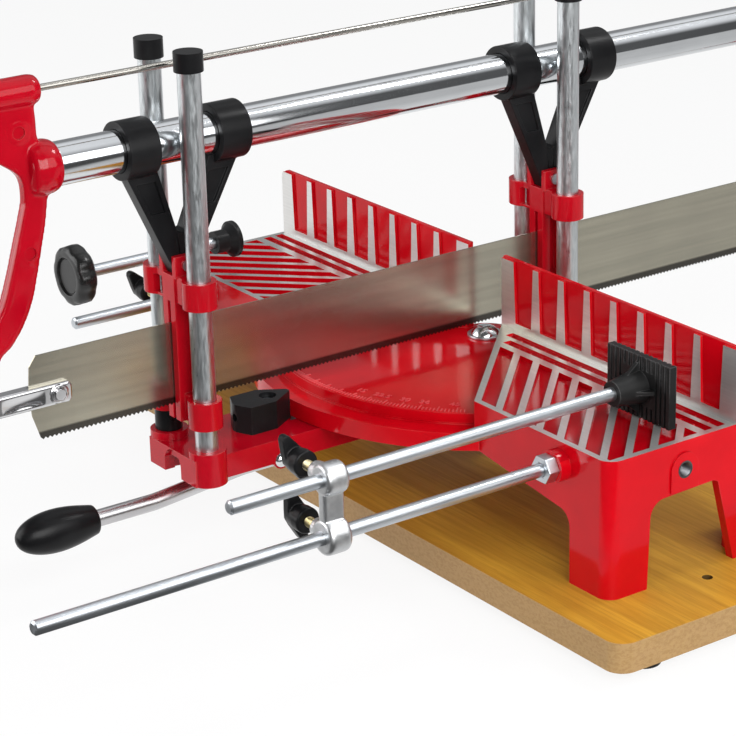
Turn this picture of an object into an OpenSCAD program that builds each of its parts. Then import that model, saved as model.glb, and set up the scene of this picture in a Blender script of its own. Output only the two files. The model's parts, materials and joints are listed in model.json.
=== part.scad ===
// Manual mitre saw on a baseboard: a slotted aluminium bed with two tables, a swivel arm with four posts,
// and a tensioned frame saw that slides through two guided yokes. Millimetres, +Z up.
// Origin: on the swivel axis, at the underside of the baseboard. +X is along the fence, +Y away from the handle.

/* [Baseboard] */
// Length of the baseboard along the fence
board_w = 488; // [470:1:520]
// Front edge of the baseboard, forward of the swivel axis
board_front = 109; // [104:1:125]
// Rear edge of the baseboard, behind the swivel axis
board_rear = 66; // [56:1:90]
// Thickness of the baseboard
board_t = 16; // [12:0.5:22]
// Corner radius of the baseboard
board_r = 10; // [4:1:14]
// Spacing of the bench screw holes along the fence
bench_dx = 424; // [420:1:440]
// Spacing of the bench screw holes across the fence
bench_dy = 48; // [40:1:60]
// Radius of each bench screw hole
bench_r = 2.75; // [2:0.25:3.5]
// Radius of a rubber foot
foot_r = 9; // [6:0.5:11]
// Height of a rubber foot
foot_h = 5; // [3:0.5:9]

/* [Bed] */
// Height of the table above the baseboard
leg_h = 74; // [70:1:80]
// Half gap between the two fences
fence_gap = 15; // [13:0.5:18]
// Outer end of each table, from the swivel axis
bed_x = 204; // [198:1:210]
// Depth of each table in front of the fence
bed_d = 82.5; // [80:0.5:86]
// Height of the fence above the table
fence_h = 40; // [30:1:50]
// Thickness of the fence
fence_t = 3.5; // [3:0.25:5]
// Wall thickness of the casting
wall = 5; // [4:0.5:6]
// Depth of the painted recesses between the machined ribs
recess = 2.5; // [1.5:0.25:3]
// Width of a machined rib on the fence
rib_w = 6.2; // [5:0.2:9]
// Number of machined ribs on each fence between its end strips
rib_n = 7; // [4:1:9]
// Pitch of the slanted ribs on the table, along the fence
slant_pitch = 16.4; // [14:0.2:20]
// Width of a slanted rib, along the fence
slant_w = 5.5; // [4:0.5:7]
// Depth of the skirt below the table
skirt_h = 26; // [25:0.5:28]
// Depth of the rear legs behind the fence plane
rear_y = 26; // [24:1:32]
// Length of each leg along the fence
leg_x = 29.5; // [26:0.5:34]
// Radius of the upper step of the sector
sector_r1 = 119; // [114:1:121]
// Radius of the lower step of the sector
sector_r2 = 132; // [130:0.5:134]
// Drop of the sector below the table
sector_drop = 10.5; // [9:0.5:12]
// Height of the upper step of the sector
sector_step = 6; // [5:0.5:7]

/* [Swivel arm] */
// Distance of the front posts from the swivel axis
front_y = 196; // [192:1:204]
// Distance of the rear posts from the swivel axis
rear_post_y = 43.5; // [42:0.5:50]
// Half spacing of the two posts of a pair
post_x = 19; // [19:0.5:21]
// Radius of a guide post
post_r = 6; // [5:0.25:6]
// Height of the guide posts' tops above the table
post_top = 179; // [172:1:190]
// Half width of the arm
arm_x = 24; // [22:0.5:25]
// Height of the arm's channel
arm_h = 13; // [12:0.5:14]
// Radius of a post boss
boss_r = 10; // [9:0.5:11]
// Radius of the swivel bolt
bolt_r = 5; // [4:0.5:6]
// Height of the black stop sleeve under the left collars
sleeve_h = 12.3; // [8:0.1:16]
// Radius of the index lever's rod
lever_r = 4.5; // [3.5:0.25:5]
// Length of the lever's grip
grip_l = 46; // [36:1:56]
// Radius of the lever's grip at its middle
grip_r = 13; // [10:0.5:15]

/* [Saw frame] */
// Height of the blade
blade_h = 45; // [40:1:50]
// Length of the blade
blade_l = 550; // [540:1:570]
// Thickness of the blade
blade_t = 0.8; // [0.6:0.1:1.2]
// Pitch of the blade's teeth
tooth_pitch = 2.5; // [2.5:0.5:5]
// Height of a tooth
tooth_h = 1.2; // [0.8:0.2:2]
// Depth of the teeth below the table at rest
cut_depth = 2; // [1:0.5:3]
// Height of the frame tube's axis above the table
tube_up = 138; // [132:1:144]
// Radius of the frame tube
tube_r = 11; // [10:0.25:11.5]
// Wall of the frame tube
tube_wall = 1.5; // [1:0.25:2.5]
// Height of the tension rod's axis above the tube's axis
rod_up = 39; // [36:1:44]
// Radius of the tension rod
rod_r = 1.75; // [1.5:0.25:2.5]
// Half thickness of the handle behind its grip
handle_x = 5; // [4.5:0.5:6]
// Half spacing of a yoke's two collars
yoke_y = 26.5; // [25.5:0.5:30]

/* [Clamps] */
// Distance of the clamps from the swivel axis, along the fence
clamp_x = 167; // [160:1:168]
// Depth of a clamp's lower rod below the table
clamp_drop = 12; // [10.5:0.5:13]
// Spacing of a clamp's two rods
clamp_gap = 29; // [28.5:0.5:34]
// Radius of the clamp rods
clamp_r = 3.5; // [3:0.25:4]
// Length of the right lower rod in front of the table
right_rod_l = 294; // [270:1:310]
// Length of the left lower rod in front of the table
left_rod_l = 88; // [80:1:100]
// Width of the square clamp pad
pad_w = 47; // [36:1:48]
// Height of the square clamp pad
pad_h = 33; // [26:1:33]
// Radius of the clamping knob
knob_r = 18; // [14:0.5:19]

/* [Hidden] */
$fn = 64;
// Radial play of sliding and turning fits, and play between parts that only pass each other
run = 0.05;
free = 0.5;
table_z = board_t + leg_h;
skirt_z = table_z - skirt_h;
sector_z = table_z - sector_drop;
step_z = sector_z - sector_step;
plate_t = 6;
strip = 11.5;
panel_w = (bed_x - fence_gap - 2 * strip - rib_n * rib_w) / (rib_n + 1);
foot_strip = 4;
foot_in_x = 5;
foot_in_y = 18;
rib_taper = 0.8;
fence_recess = recess - 1;
lip = 1;
fence_r = 4;
groove_d = 1.5;
groove_w = 5.2;
arch_r = 9;
panel_y = 22.5;
rim = 3.5;
corner_r = 8;
boss_in = wall + 7;
base_screw_r = 2.2;
base_screw_l = 24;
head_h = 3;
stop_hole_y = -34;
stop_hole_z = table_z - 15;
stop_hole_r = 4;
stop_hole_l = 15;
stop_boss_r = 9;
rod_z = table_z - clamp_drop;
upper_z = rod_z + clamp_gap;
rod_boss_r = 8.5;
rod_boss_l = 6;
rod_nut_h = 6.5;
rod_nut_af = 13;
hub_r = 20;
arm_top = skirt_z - free;
arm_bot = arm_top - arm_h;
arm_t = 5;
boss_top = arm_top + 4;
boss_bot = arm_bot - 1.5;
post_bot = boss_bot + 2;
post_z = table_z + post_top;
cap_r = 7.5;
cap_grip = 2;
cap_t = 8;
collar_z = boss_top + sleeve_h;
collar_h = 15;
collar_r = post_r + 3;
upper_collar_z = table_z + 54.5;
upper_collar_h = 14.5;
ear_h = 10.5;
guide_gap = 1.25;
guide_x = 6;
guide_y = 7;
pocket_y = 3;
stem_x = 4.5;
yoke_pin_r = 1.5;
blade_z = table_z - cut_depth;
front_reach = 90;
blade_front = -front_y - front_reach;
blade_back = blade_front + blade_l;
nose = 5;
tube_z = table_z + tube_up;
rod_axis_z = tube_z + rod_up;
yoke_r = tube_r + 4;
yoke_l = 17.5;
yoke_off = 3;
yoke_front = yoke_off - yoke_y;
yoke_rear = yoke_off + yoke_y;
yoke_in = 9.5;
yoke_foot = 4.5;
yoke_edge = 3;
yoke_groove = 1.5;
crotch_z = table_z + 91;
clip_z = blade_z + 0.52 * blade_h;
clip_h = 11.5;
clip_x = 4;
clip_l = 43.5;
clip_over = 22.5;
jaw_r = 6.2;
jaw_t = 0.6;
clip_cut = 2;
stem_head = 5;
stem_l = 38;
stem_r = 4;
pin_r = 2;
pin_in = 15;
pin_head_r = 2.8;
pin_head_h = 1.2;
socket_r = 13;
socket_l = 8;
socket_t = 2.5;
spigot_l = 22;
spigot_r = tube_r - tube_wall - run;
boss_rod_r = 7;
grip_x = 11;
grip_from = 40;
rod_head_y = 18;
handle_screw_r = 1.6;
handle_head_r = 3.4;
head_sink = 3;
rear_x = 7.5;
ferrule_l = 25;
tube_front = blade_front + 16;
tube_back = blade_back - 11;
link_l = 12;
link_r = 8;
link_out = 136.5;
left_link_out = 24.5;
link_y = -bed_d - link_out;
left_link_y = -bed_d - left_link_out;
rod_seat = 10;
pad_t = 4.5;
pad_rib = 3.4;
pad_clear = 10.5;
pad_y = -28;
pad_socket_l = 17;
upper_rod_front = link_y - 56;
wing_r = 6.5;
wing_l = 13;
wing_span = 13;
wing_tip = 2.2;
wing_t = 5;
tip_gap = 0.3;
wing_screw_r = 2.5;
wing_boss_l = 13;
wing_gap = 7;
knob_l = 14;
knob_y = left_link_y - 66;
knob_lobes = 8;
foot_cup_y = left_link_y + 33;
foot_cup_r = 10.5;
foot_hub_r = 6.8;
foot_hub_l = 8;
foot_flare_l = 4.5;
lever_z = arm_bot - 8;
lever_bend_y = -164;
lever_run = 54;
lever_slope = 6;
lever_tail = -124;
grip_start = lever_bend_y - lever_run * cos(lever_slope);
grip_z = lever_z - lever_run * sin(lever_slope);
grip_y = -254;
pivot_y = -153.7;
pivot_z = arm_bot + 1.2;
pivot_r = 2.5;
ear_r = 5;
tooth_y = -126;
tooth_top = skirt_z - 0.5;
block_x = 10.5;
block_flat = 2;
block_slope = 4;
block_taper = 14;
block_tip = 1.5;
block_bore_r = 2.2;
block_y0 = -167;
block_y1 = -133;
block_top = sector_z - 0.5;
block_hole_y = -146;
block_head_r = 4.25;
index_angles = [-45, -36, -30, -22.5, -15, 0, 15, 22.5, 30, 36, 45];

// Cylinder between two heights
module cyl_z(r, z0, z1, x = 0, y = 0) {
    translate([x, y, z0]) cylinder(r = r, h = z1 - z0);
}

// Cylinder along the blade
module cyl_y(r, y0, y1, x, z) {
    translate([x, y1, z]) rotate([90, 0, 0]) cylinder(r = r, h = y1 - y0);
}

// Cylinder along the fence
module cyl_x(r, x0, x1, y, z) {
    translate([x0, y, z]) rotate([0, 90, 0]) cylinder(r = r, h = x1 - x0);
}

// Block between two corners
module box(a, b) {
    translate(a) cube(b - a);
}

// Outline drawn in the plane of the blade, given a thickness along the fence
module yz_plate(x0, x1) {
    translate([x0, 0, 0]) rotate([90, 0, 90]) linear_extrude(x1 - x0) children();
}

// Outline drawn in the plane of the fence, given a thickness along the blade
module xz_plate(y0, y1) {
    translate([0, y1, 0]) rotate([90, 0, 0]) linear_extrude(y1 - y0) children();
}

// Domed head on a flat face
module dome(r, h) {
    cap = (r * r + h * h) / (2 * h);
    rotate_extrude() intersection() {
        square([r, h]);
        translate([0, h - cap]) circle(cap);
    }
}

// Both mirror images along the fence
module both() {
    children();
    mirror([1, 0, 0]) children();
}

// Rounded bar between two points of an outline
module stroke(p, q, r) {
    translate(p) circle(r);
    translate(q) circle(r);
    translate(p) rotate(atan2(q[1] - p[1], q[0] - p[0]))
        translate([0, -r]) square([norm(q - p), 2 * r]);
}

// Closed curve through a ring of points, with a few straight steps between each two
function smooth(p, steps = 5) = [
    for (i = [0 : len(p) - 1])
        for (k = [0 : steps - 1])
            let (
                n = len(p), t = k / steps,
                a = p[(i + n - 1) % n], b = p[i], c = p[(i + 1) % n], d = p[(i + 2) % n]
            )
                b + t * (c - a) / 2 + t * t * (2 * a - 5 * b + 4 * c - d) / 2
                    + t * t * t * (3 * b - a - 3 * c + d) / 2
];

// Places shared by fasteners and the holes for them
module at_bench_holes() {
    for (x = [-bench_dx / 2, bench_dx / 2])
        for (y = [-bench_dy / 2, bench_dy / 2]) translate([x, y, 0]) children();
}

module at_legs() {
    for (x = [-bed_x + boss_in, bed_x - boss_in])
        for (y = [-bed_d + boss_in, rear_y - boss_in]) translate([x, y, 0]) children();
}

module at_posts() {
    for (x = [-post_x, post_x])
        for (y = [-front_y, rear_post_y]) translate([x, y, 0]) children();
}

// Base
module baseboard() {
    color("burlywood") difference() {
        linear_extrude(board_t) union() {
            translate([-board_w / 2 + board_r, -board_front])
                square([board_w - 2 * board_r, board_front + board_rear]);
            translate([-board_w / 2, -board_front + board_r])
                square([board_w, board_front + board_rear - 2 * board_r]);
            for (x = [-board_w / 2 + board_r, board_w / 2 - board_r])
                for (y = [-board_front + board_r, board_rear - board_r])
                    translate([x, y]) circle(board_r);
        }
        at_bench_holes() cyl_z(bench_r, -1, board_t + 1);
        at_legs() cyl_z(base_screw_r, -1, board_t + 1);
        at_legs() cyl_z(2 * base_screw_r, -1, head_h);
    }
}

module rubber_feet() {
    color("black")
        for (x = [-board_w / 2 + foot_r + foot_in_x, board_w / 2 - foot_r - foot_in_x])
            for (y = [-board_front + foot_r + foot_in_y, board_rear - foot_r - foot_in_y])
                cyl_z(foot_r, -foot_h, 0, x, y);
}

module base_screws() {
    color("silver") at_legs() union() {
        cyl_z(base_screw_r, 0, base_screw_l + board_t);
        cyl_z(2 * base_screw_r, 0, head_h);
    }
}

// Outline of one table, from above
module table_outline() {
    difference() {
        polygon([
            [fence_gap, fence_t], [fence_gap, 0], [fence_gap + bed_d, -bed_d],
            [bed_x, -bed_d], [bed_x, fence_t]
        ]);
        corner_cut();
    }
}

// What a rounded front corner takes away
module corner_cut() {
    translate([bed_x - corner_r, -bed_d + corner_r]) difference() {
        translate([0, -2 * corner_r]) square([2 * corner_r, 2 * corner_r]);
        circle(corner_r);
    }
}

// Painted recesses between the slanted ribs
module slant_panels() {
    difference() {
        polygon([
            [fence_gap + panel_y + 5, -panel_y], [bed_x - rim, -panel_y], [bed_x - rim, -bed_d + rim],
            [fence_gap + bed_d - rim + 5, -bed_d + rim]
        ]);
        for (k = [0 : floor((bed_x - fence_gap - panel_y) / slant_pitch)]) {
            a = fence_gap + 19.7 + k * slant_pitch;
            polygon([
                [a - slant_w / 2, 0], [a + slant_w / 2, 0], [a + slant_w / 2 + bed_d, -bed_d],
                [a - slant_w / 2 + bed_d, -bed_d]
            ]);
        }
    }
}

// Painted recess between two fence ribs, which are wider at the foot
module fence_panel(x) {
    xz_plate(-1, fence_recess) polygon([
        [x + rib_taper, table_z + foot_strip], [x + panel_w - rib_taper, table_z + foot_strip],
        [x + panel_w + rib_taper, table_z + fence_h], [x - rib_taper, table_z + fence_h]
    ]);
}

// Right half of the bed without its bores
module half_bed() {
    difference() {
        union() {
            translate([0, 0, table_z - plate_t]) linear_extrude(plate_t) table_outline();
            box([fence_gap, 0, table_z - 1], [bed_x, fence_t, table_z + fence_h]);
            linear_extrude_between(skirt_z, table_z) polygon([
                [fence_gap, 0], [fence_gap + bed_d, -bed_d], [fence_gap + bed_d + 1.4 * wall, -bed_d],
                [fence_gap + 1.4 * wall, 0]
            ]);
            xz_plate(-bed_d, -bed_d + wall) polygon([
                [fence_gap + bed_d, table_z], [bed_x, table_z], [bed_x, board_t], [bed_x - leg_x, board_t],
                each [for (a = [0 : 12 : 72])
                    [bed_x - leg_x - arch_r + arch_r * cos(a), skirt_z - 18 + arch_r * sin(a)]],
                [fence_gap + bed_d, skirt_z]
            ]);
            yz_plate(bed_x - wall, bed_x) difference() {
                translate([-bed_d, board_t]) square([bed_d + rear_y, leg_h]);
                end_arch();
            }
            xz_plate(rear_y - wall, rear_y) polygon([
                [bed_x, table_z], [bed_x, board_t], [bed_x - leg_x, board_t], [bed_x - leg_x - 6, table_z]
            ]);
            box([fence_gap, fence_t - wall, skirt_z], [bed_x, fence_t, table_z]);
            box([4 * fence_gap, 0, table_z - plate_t], [bed_x, rear_y, table_z]);
            for (x = [5 * fence_gap, (5 * fence_gap + bed_x) / 2, bed_x - wall])
                yz_plate(x, x + wall) polygon([
                    [fence_t - 1, table_z - 1], [fence_t - 1, table_z + fence_h - 6],
                    [fence_t, table_z + fence_h - 6],
                    [rear_y - 3, table_z], [rear_y - 3, table_z - 1]
                ]);
            for (y = [-bed_d + boss_in, rear_y - boss_in])
                cyl_z(wall + 2.5, board_t, table_z - 1, bed_x - boss_in, y);
            cyl_x(stop_boss_r, bed_x - stop_hole_l + 1, bed_x + 1, stop_hole_y, stop_hole_z);
            yz_plate(bed_x - 1, bed_x + 1) translate([stop_hole_y - stop_boss_r, skirt_z])
                square([2 * stop_boss_r, stop_hole_z - skirt_z]);
            cyl_y(rod_boss_r, -bed_d - rod_boss_l, -bed_d + rod_seat + 2, clamp_x, rod_z);
        }
        translate([0, 0, -1]) linear_extrude(table_z + fence_h + 2) corner_cut();
        translate([0, 0, table_z - recess]) linear_extrude(recess + 1) slant_panels();
        for (y = [-9, -17.4])
            box([fence_gap - y + 6, y, table_z - groove_d], [bed_x - rim, y + groove_w, table_z + 1]);
        for (k = [0 : rib_n])
            fence_panel(fence_gap + strip + k * (panel_w + rib_w));
        box([fence_gap - 1, -1, table_z + fence_h - lip], [bed_x + 1, fence_recess, table_z + fence_h + 1]);
        xz_plate(-1, fence_t + 1) translate([bed_x - fence_r, table_z + fence_h - fence_r]) difference() {
            square(2 * fence_r);
            circle(fence_r);
        }
        for (y = [-bed_d + boss_in, rear_y - boss_in])
            cyl_z(base_screw_r, board_t - 1, board_t + base_screw_l, bed_x - boss_in, y);
        cyl_x(stop_hole_r, bed_x + 1 - stop_hole_l, bed_x + 2, stop_hole_y, stop_hole_z);
        cyl_y(clamp_r, -bed_d - rod_boss_l - 1, -bed_d + rod_seat, clamp_x, rod_z);
    }
}

// Straight extrusion between two heights
module linear_extrude_between(z0, z1) {
    translate([0, 0, z0]) linear_extrude(z1 - z0) children();
}

// Opening between the two legs of one end
module end_arch() {
    polygon([
        [-57, board_t - 1], each [for (a = [176 : -12 : 92])
            [-55.5 + arch_r + arch_r * cos(a), skirt_z - 1.5 - arch_r + arch_r * sin(a)]],
        [-14, skirt_z - 0.5], [-11, skirt_z - 2], [1, board_t - 1]
    ]);
}

// Part of the plane in front of the fences and between the two tables
module sector_field() {
    polygon([
        [-fence_gap - 3, 3], [fence_gap + 3, 3], [fence_gap + sector_r2 + 3, -sector_r2],
        [-fence_gap - sector_r2 - 3, -sector_r2]
    ]);
}

module sector() {
    difference() {
        union() {
            linear_extrude_between(step_z, sector_z) intersection() {
                sector_field();
                circle(sector_r1, $fn = 128);
            }
            linear_extrude_between(skirt_z, step_z + 0.5) intersection() {
                sector_field();
                difference() {
                    circle(sector_r1 + 1, $fn = 128);
                    circle(sector_r1 - 8, $fn = 128);
                }
            }
            linear_extrude_between(skirt_z, step_z) intersection() {
                sector_field();
                difference() {
                    circle(sector_r2, $fn = 128);
                    circle(sector_r1 - 8, $fn = 128);
                }
            }
            cyl_z(hub_r, skirt_z, sector_z);
        }
        for (a = index_angles) rotate(a)
            box([-2.2, -sector_r2 + 1.5, skirt_z - 1], [2.2, -sector_r1 - 1, skirt_z + 4]);
    }
}

module bed_casting() {
    color("red") difference() {
        union() {
            both() half_bed();
            sector();
        }
        cyl_z(bolt_r + run, skirt_z - 1, sector_z + 1);
    }
}

module pivot_bolt() {
    color("silver") union() {
        cyl_z(bolt_r, arm_bot - 9, sector_z + 2);
        translate([0, 0, sector_z + 1.5]) dome(8, 4.8);
    }
}

module pivot_washer() {
    color("silver") difference() {
        cyl_z(10, sector_z, sector_z + 1.5);
        cyl_z(bolt_r, sector_z - 1, sector_z + 2);
    }
}

module pivot_nut() {
    color("silver") difference() {
        translate([0, 0, arm_bot - 8]) cylinder(r = 9.5, h = 8, $fn = 6);
        cyl_z(bolt_r, arm_bot - 9, arm_bot + 1);
    }
}

module rod_nuts() {
    color("silver") for (x = [-clamp_x, clamp_x])
        difference() {
            translate([x, -bed_d - rod_boss_l, rod_z]) rotate([90, 0, 0])
                cylinder(r = rod_nut_af / 2 / cos(30), h = rod_nut_h, $fn = 6);
            cyl_y(clamp_r, -bed_d - rod_boss_l - rod_nut_h - 1, -bed_d - rod_boss_l + 1, x, rod_z);
        }
}

// Swivel arm and what is fixed to it
module swivel_arm() {
    color("red") difference() {
        union() {
            box([-arm_x, -front_y - 8, arm_top - arm_t], [arm_x, rear_post_y + 8, arm_top]);
            both() box([arm_x - 4, -front_y - 8, arm_bot], [arm_x, rear_post_y + 8, arm_top]);
            xz_plate(-front_y - 10, -front_y - 4) difference() {
                translate([-post_x - 4, boss_bot]) square([2 * post_x + 8, arm_top - boss_bot]);
                translate([-8, boss_bot - 1]) square([16, 7]);
                translate([0, boss_bot + 6]) circle(8);
            }
            xz_plate(rear_post_y + 4, rear_post_y + 8)
                translate([-post_x, arm_bot]) square([2 * post_x, arm_h]);
            at_posts() cyl_z(boss_r, boss_bot, boss_top);
            cyl_z(hub_r - 3, arm_bot, skirt_z);
            both() cyl_x(ear_r, arm_x - 4, arm_x, pivot_y, pivot_z);
        }
        at_posts() cyl_z(post_r, post_bot, boss_top + 1);
        cyl_z(bolt_r + run, arm_bot - 1, skirt_z + 1);
        cyl_x(pivot_r, -arm_x - 1, arm_x + 1, pivot_y, pivot_z);
        box([-5, tooth_y - 9, arm_top - arm_t - 1], [5, tooth_y + 9, arm_top + 1]);
        cyl_z(pivot_r, arm_top - arm_t - 1, arm_top + 1, 0, block_hole_y);
    }
}

// One guide post
module post(x, y) {
    color("silver") cyl_z(post_r, post_bot, post_z, x, y);
}

module post_front_right() { post(post_x, -front_y); }

module post_front_left() { post(-post_x, -front_y); }

module post_rear_right() { post(post_x, rear_post_y); }

module post_rear_left() { post(-post_x, rear_post_y); }

module post_caps() {
    color("black") at_posts() difference() {
        cyl_z(cap_r, post_z - cap_grip, post_z + cap_t);
        cyl_z(post_r, post_z - cap_grip - 1, post_z);
    }
}

module stop_sleeves() {
    color("black") for (y = [-front_y, rear_post_y])
        difference() {
            cyl_z(post_r + 1.2, boss_top, collar_z, -post_x, y);
            cyl_z(post_r, boss_top - 1, collar_z + 1, -post_x, y);
        }
}

module index_block() {
    color("black") difference() {
        linear_extrude_between(arm_top, block_top) polygon([
            [-block_flat, block_y0], [block_flat, block_y0],
            [block_x, block_y0 + block_slope], [block_x, block_y1 - block_taper],
            [block_tip, block_y1], [-block_tip, block_y1],
            [-block_x, block_y1 - block_taper], [-block_x, block_y0 + block_slope]
        ]);
        cyl_z(block_head_r + 0.5, block_top - 7, block_top + 1, 0, block_hole_y);
        cyl_z(pivot_r, arm_top - 1, block_top, 0, block_hole_y);
        cyl_y(block_bore_r, block_y0 - 1, block_y0 + 4, 0, (arm_top + block_top) / 2);
    }
}

module index_block_screw() {
    color("silver") difference() {
        union() {
            cyl_z(pivot_r, arm_top - arm_t, block_top - 6, 0, block_hole_y);
            cyl_z(block_head_r, block_top - 7, block_top - 3, 0, block_hole_y);
        }
        translate([0, block_hole_y, block_top - 5]) cylinder(r = 2.3, h = 5, $fn = 6);
    }
}

module lever_pin() {
    color("silver") union() {
        cyl_x(pivot_r, -arm_x - 1.5, arm_x + 0.5, pivot_y, pivot_z);
        translate([arm_x, pivot_y, pivot_z]) rotate([0, 90, 0]) dome(4.2, 2.8);
        cyl_x(4, -arm_x - 2, -arm_x, pivot_y, pivot_z);
    }
}

// Sprung strip between the arm's roof and the lever
module lever_spring() {
    color("silver") yz_plate(-3.5, 3.5) polygon([
        [-190, arm_top - arm_t], [-184, arm_top - arm_t], [-171, lever_z + lever_r + 1],
        [-166.5, lever_z + lever_r + 1], [-166.5, lever_z + lever_r], [-171.5, lever_z + lever_r],
        [-184.6, arm_top - arm_t - 1], [-190, arm_top - arm_t - 1]
    ]);
}

// Index lever
// Knuckle where the lever's rod bends
module lever_bend(y, z) {
    translate([0, y, z]) sphere(r = lever_r + 0.2);
}

module index_lever() {
    color("silver") difference() {
        union() {
            cyl_y(lever_r, lever_bend_y + 0.5, lever_tail, 0, lever_z);
            lever_bend(lever_bend_y, lever_z);
            translate([0, lever_bend_y, lever_z]) rotate([90 + lever_slope, 0, 0])
                translate([0, 0, 0.5]) cylinder(r = lever_r, h = lever_run - 1);
            lever_bend(grip_start, grip_z);
            cyl_y(lever_r, grip_y - grip_l + 12, grip_start - 0.5, 0, grip_z);
            yz_plate(-4, 4) union() {
                translate([pivot_y - 6, lever_z]) square([12, pivot_z - lever_z]);
                translate([pivot_y, pivot_z]) circle(6);
            }
            box([-3, tooth_y - 5, lever_z], [3, tooth_y + 5, tooth_top - 3.5]);
        }
        cyl_x(pivot_r + run, -5, 5, pivot_y, pivot_z);
    }
}

module index_tooth() {
    color("dimgray") xz_plate(tooth_y - 4, tooth_y + 4) polygon([
        [-3, tooth_top - 3.5], [3, tooth_top - 3.5], [1.8, tooth_top], [-1.8, tooth_top]
    ]);
}

// Oval grip on the lever
module lever_grip() {
    bow = 0.83 * grip_l;
    bow_r = (bow * bow + grip_r * grip_r) / (2 * grip_r);
    nose_r = 0.9 * grip_r;
    color("black") translate([0, grip_y, grip_z]) rotate([90, 0, 0]) difference() {
        rotate_extrude() difference() {
            intersection() {
                square([2 * grip_r, grip_l]);
                translate([grip_r - bow_r, grip_l / 2]) circle(bow_r, $fn = 96);
            }
            difference() {
                translate([0, grip_l - nose_r]) square([2 * grip_r, 2 * nose_r]);
                translate([0, grip_l - nose_r]) circle(nose_r);
            }
        }
        translate([0, 0, -1]) cylinder(r = lever_r, h = grip_l - 11);
    }
}

// Carriages and yokes
module carriage(y) {
    ear_z = upper_collar_z + upper_collar_h;
    color("red") translate([0, y, 0]) difference() {
        union() {
            both() {
                cyl_z(collar_r, upper_collar_z, ear_z, post_x);
                cyl_z(collar_r, collar_z, collar_z + collar_h, post_x);
                box([guide_gap, -guide_y, collar_z], [guide_x, guide_y, ear_z]);
                box([stem_x, -guide_y, ear_z - 1], [stem_x + 3.5, guide_y, ear_z + ear_h]);
                box([guide_x - 1, -4, collar_z], [post_x - post_r, 4, collar_z + collar_h]);
                box([guide_x - 1, -6, upper_collar_z], [post_x - post_r, 6, ear_z]);
                box([guide_x - 1, 1, collar_z], [post_x - post_r - 3, 5, ear_z]);
            }
            box([-guide_x, -guide_y, upper_collar_z], [guide_x, guide_y, ear_z]);
        }
        both() cyl_z(post_r + run, collar_z - 1, ear_z + 1, post_x);
        box([post_r - post_x - 1, -collar_r - 1, upper_collar_z + 1.5], [-guide_x - 0.5, -pocket_y, ear_z - 3.5]);
        cyl_x(yoke_pin_r, -post_x, post_x, 0, ear_z + ear_h / 2);
    }
}

module front_carriage() { carriage(-front_y); }

module rear_carriage() { carriage(rear_post_y); }

// Place along the blade of a sloping edge at a height
function on_line(e, z) = e[0][0] + (e[1][0] - e[0][0]) * (z - e[0][1]) / (e[1][1] - e[0][1]);

// Y-shaped yoke with two collars on the frame tube
module yoke(y) {
    foot_z = upper_collar_z + upper_collar_h;
    color("black") translate([0, y, 0]) difference() {
        union() {
            yz_plate(-stem_x, stem_x) polygon([
                [-yoke_foot, foot_z], [yoke_foot, foot_z], [yoke_rear + yoke_in, tube_z - 6],
                [yoke_rear - yoke_in, tube_z - 6], [2.5, crotch_z + 1], [0, crotch_z], [-2.5, crotch_z + 1],
                [yoke_front + yoke_in, tube_z - 6], [yoke_front - yoke_in, tube_z - 6]
            ]);
            for (y1 = [yoke_front, yoke_rear])
                cyl_y(yoke_r, y1 - yoke_l / 2, y1 + yoke_l / 2, 0, tube_z);
        }
        cyl_y(tube_r + run, 2 * yoke_front, 2 * yoke_rear, 0, tube_z);
        both() yz_plate(stem_x - yoke_groove, stem_x + 1) for (s = [-1, 1]) {
            y1 = yoke_off + s * yoke_y;
            outer = [[s * yoke_foot, foot_z], [y1 + s * yoke_in, tube_z - 6]];
            inner = [[s * 2.5, crotch_z + 1], [y1 - s * yoke_in, tube_z - 6]];
            high = tube_z - yoke_r - yoke_edge;
            low = crotch_z + 12;
            polygon([
                [on_line(outer, high) - s * yoke_edge, high], [on_line(inner, high) + s * yoke_edge, high],
                [on_line(inner, low) + s * yoke_edge, low], [on_line(outer, low) - s * yoke_edge, low]
            ]);
        }
        cyl_x(yoke_pin_r, -stem_x - 1, stem_x + 1, 0, foot_z + ear_h / 2);
    }
}

module front_yoke() { yoke(-front_y); }

module rear_yoke() { yoke(rear_post_y); }

// Pin that holds a yoke's foot between the ears of its carriage
module yoke_pin(y) {
    color("silver") union() {
        cyl_x(yoke_pin_r, -stem_x - 3.5, stem_x + 3.5, y, upper_collar_z + upper_collar_h + ear_h / 2);
        cyl_x(2 * yoke_pin_r, stem_x + 3.5, stem_x + 4.7, y, upper_collar_z + upper_collar_h + ear_h / 2);
    }
}

module front_yoke_pin() { yoke_pin(-front_y); }

module rear_yoke_pin() { yoke_pin(rear_post_y); }

// Saw frame
module frame_tube() {
    color("silver") difference() {
        cyl_y(tube_r, tube_front, tube_back, 0, tube_z);
        cyl_y(tube_r - tube_wall, tube_front - 1, tube_back + 1, 0, tube_z);
    }
}

module tension_rod() {
    color("silver") union() {
        cyl_y(rod_r, blade_front - rod_head_y, blade_back + 14, 0, rod_axis_z);
        cyl_y(2 * rod_r, blade_front - rod_head_y - 2, blade_front - rod_head_y + 1, 0, rod_axis_z);
    }
}

module tension_nut() {
    color("silver") difference() {
        union() {
            cyl_y(5, blade_back + 4, blade_back + 12, 0, rod_axis_z);
            xz_plate(blade_back + 6, blade_back + 9) union() {
                stroke([-12, rod_axis_z + 3], [12, rod_axis_z + 3], 4.5);
            }
        }
        cyl_y(rod_r + run, blade_back, blade_back + 20, 0, rod_axis_z);
    }
}

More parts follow.
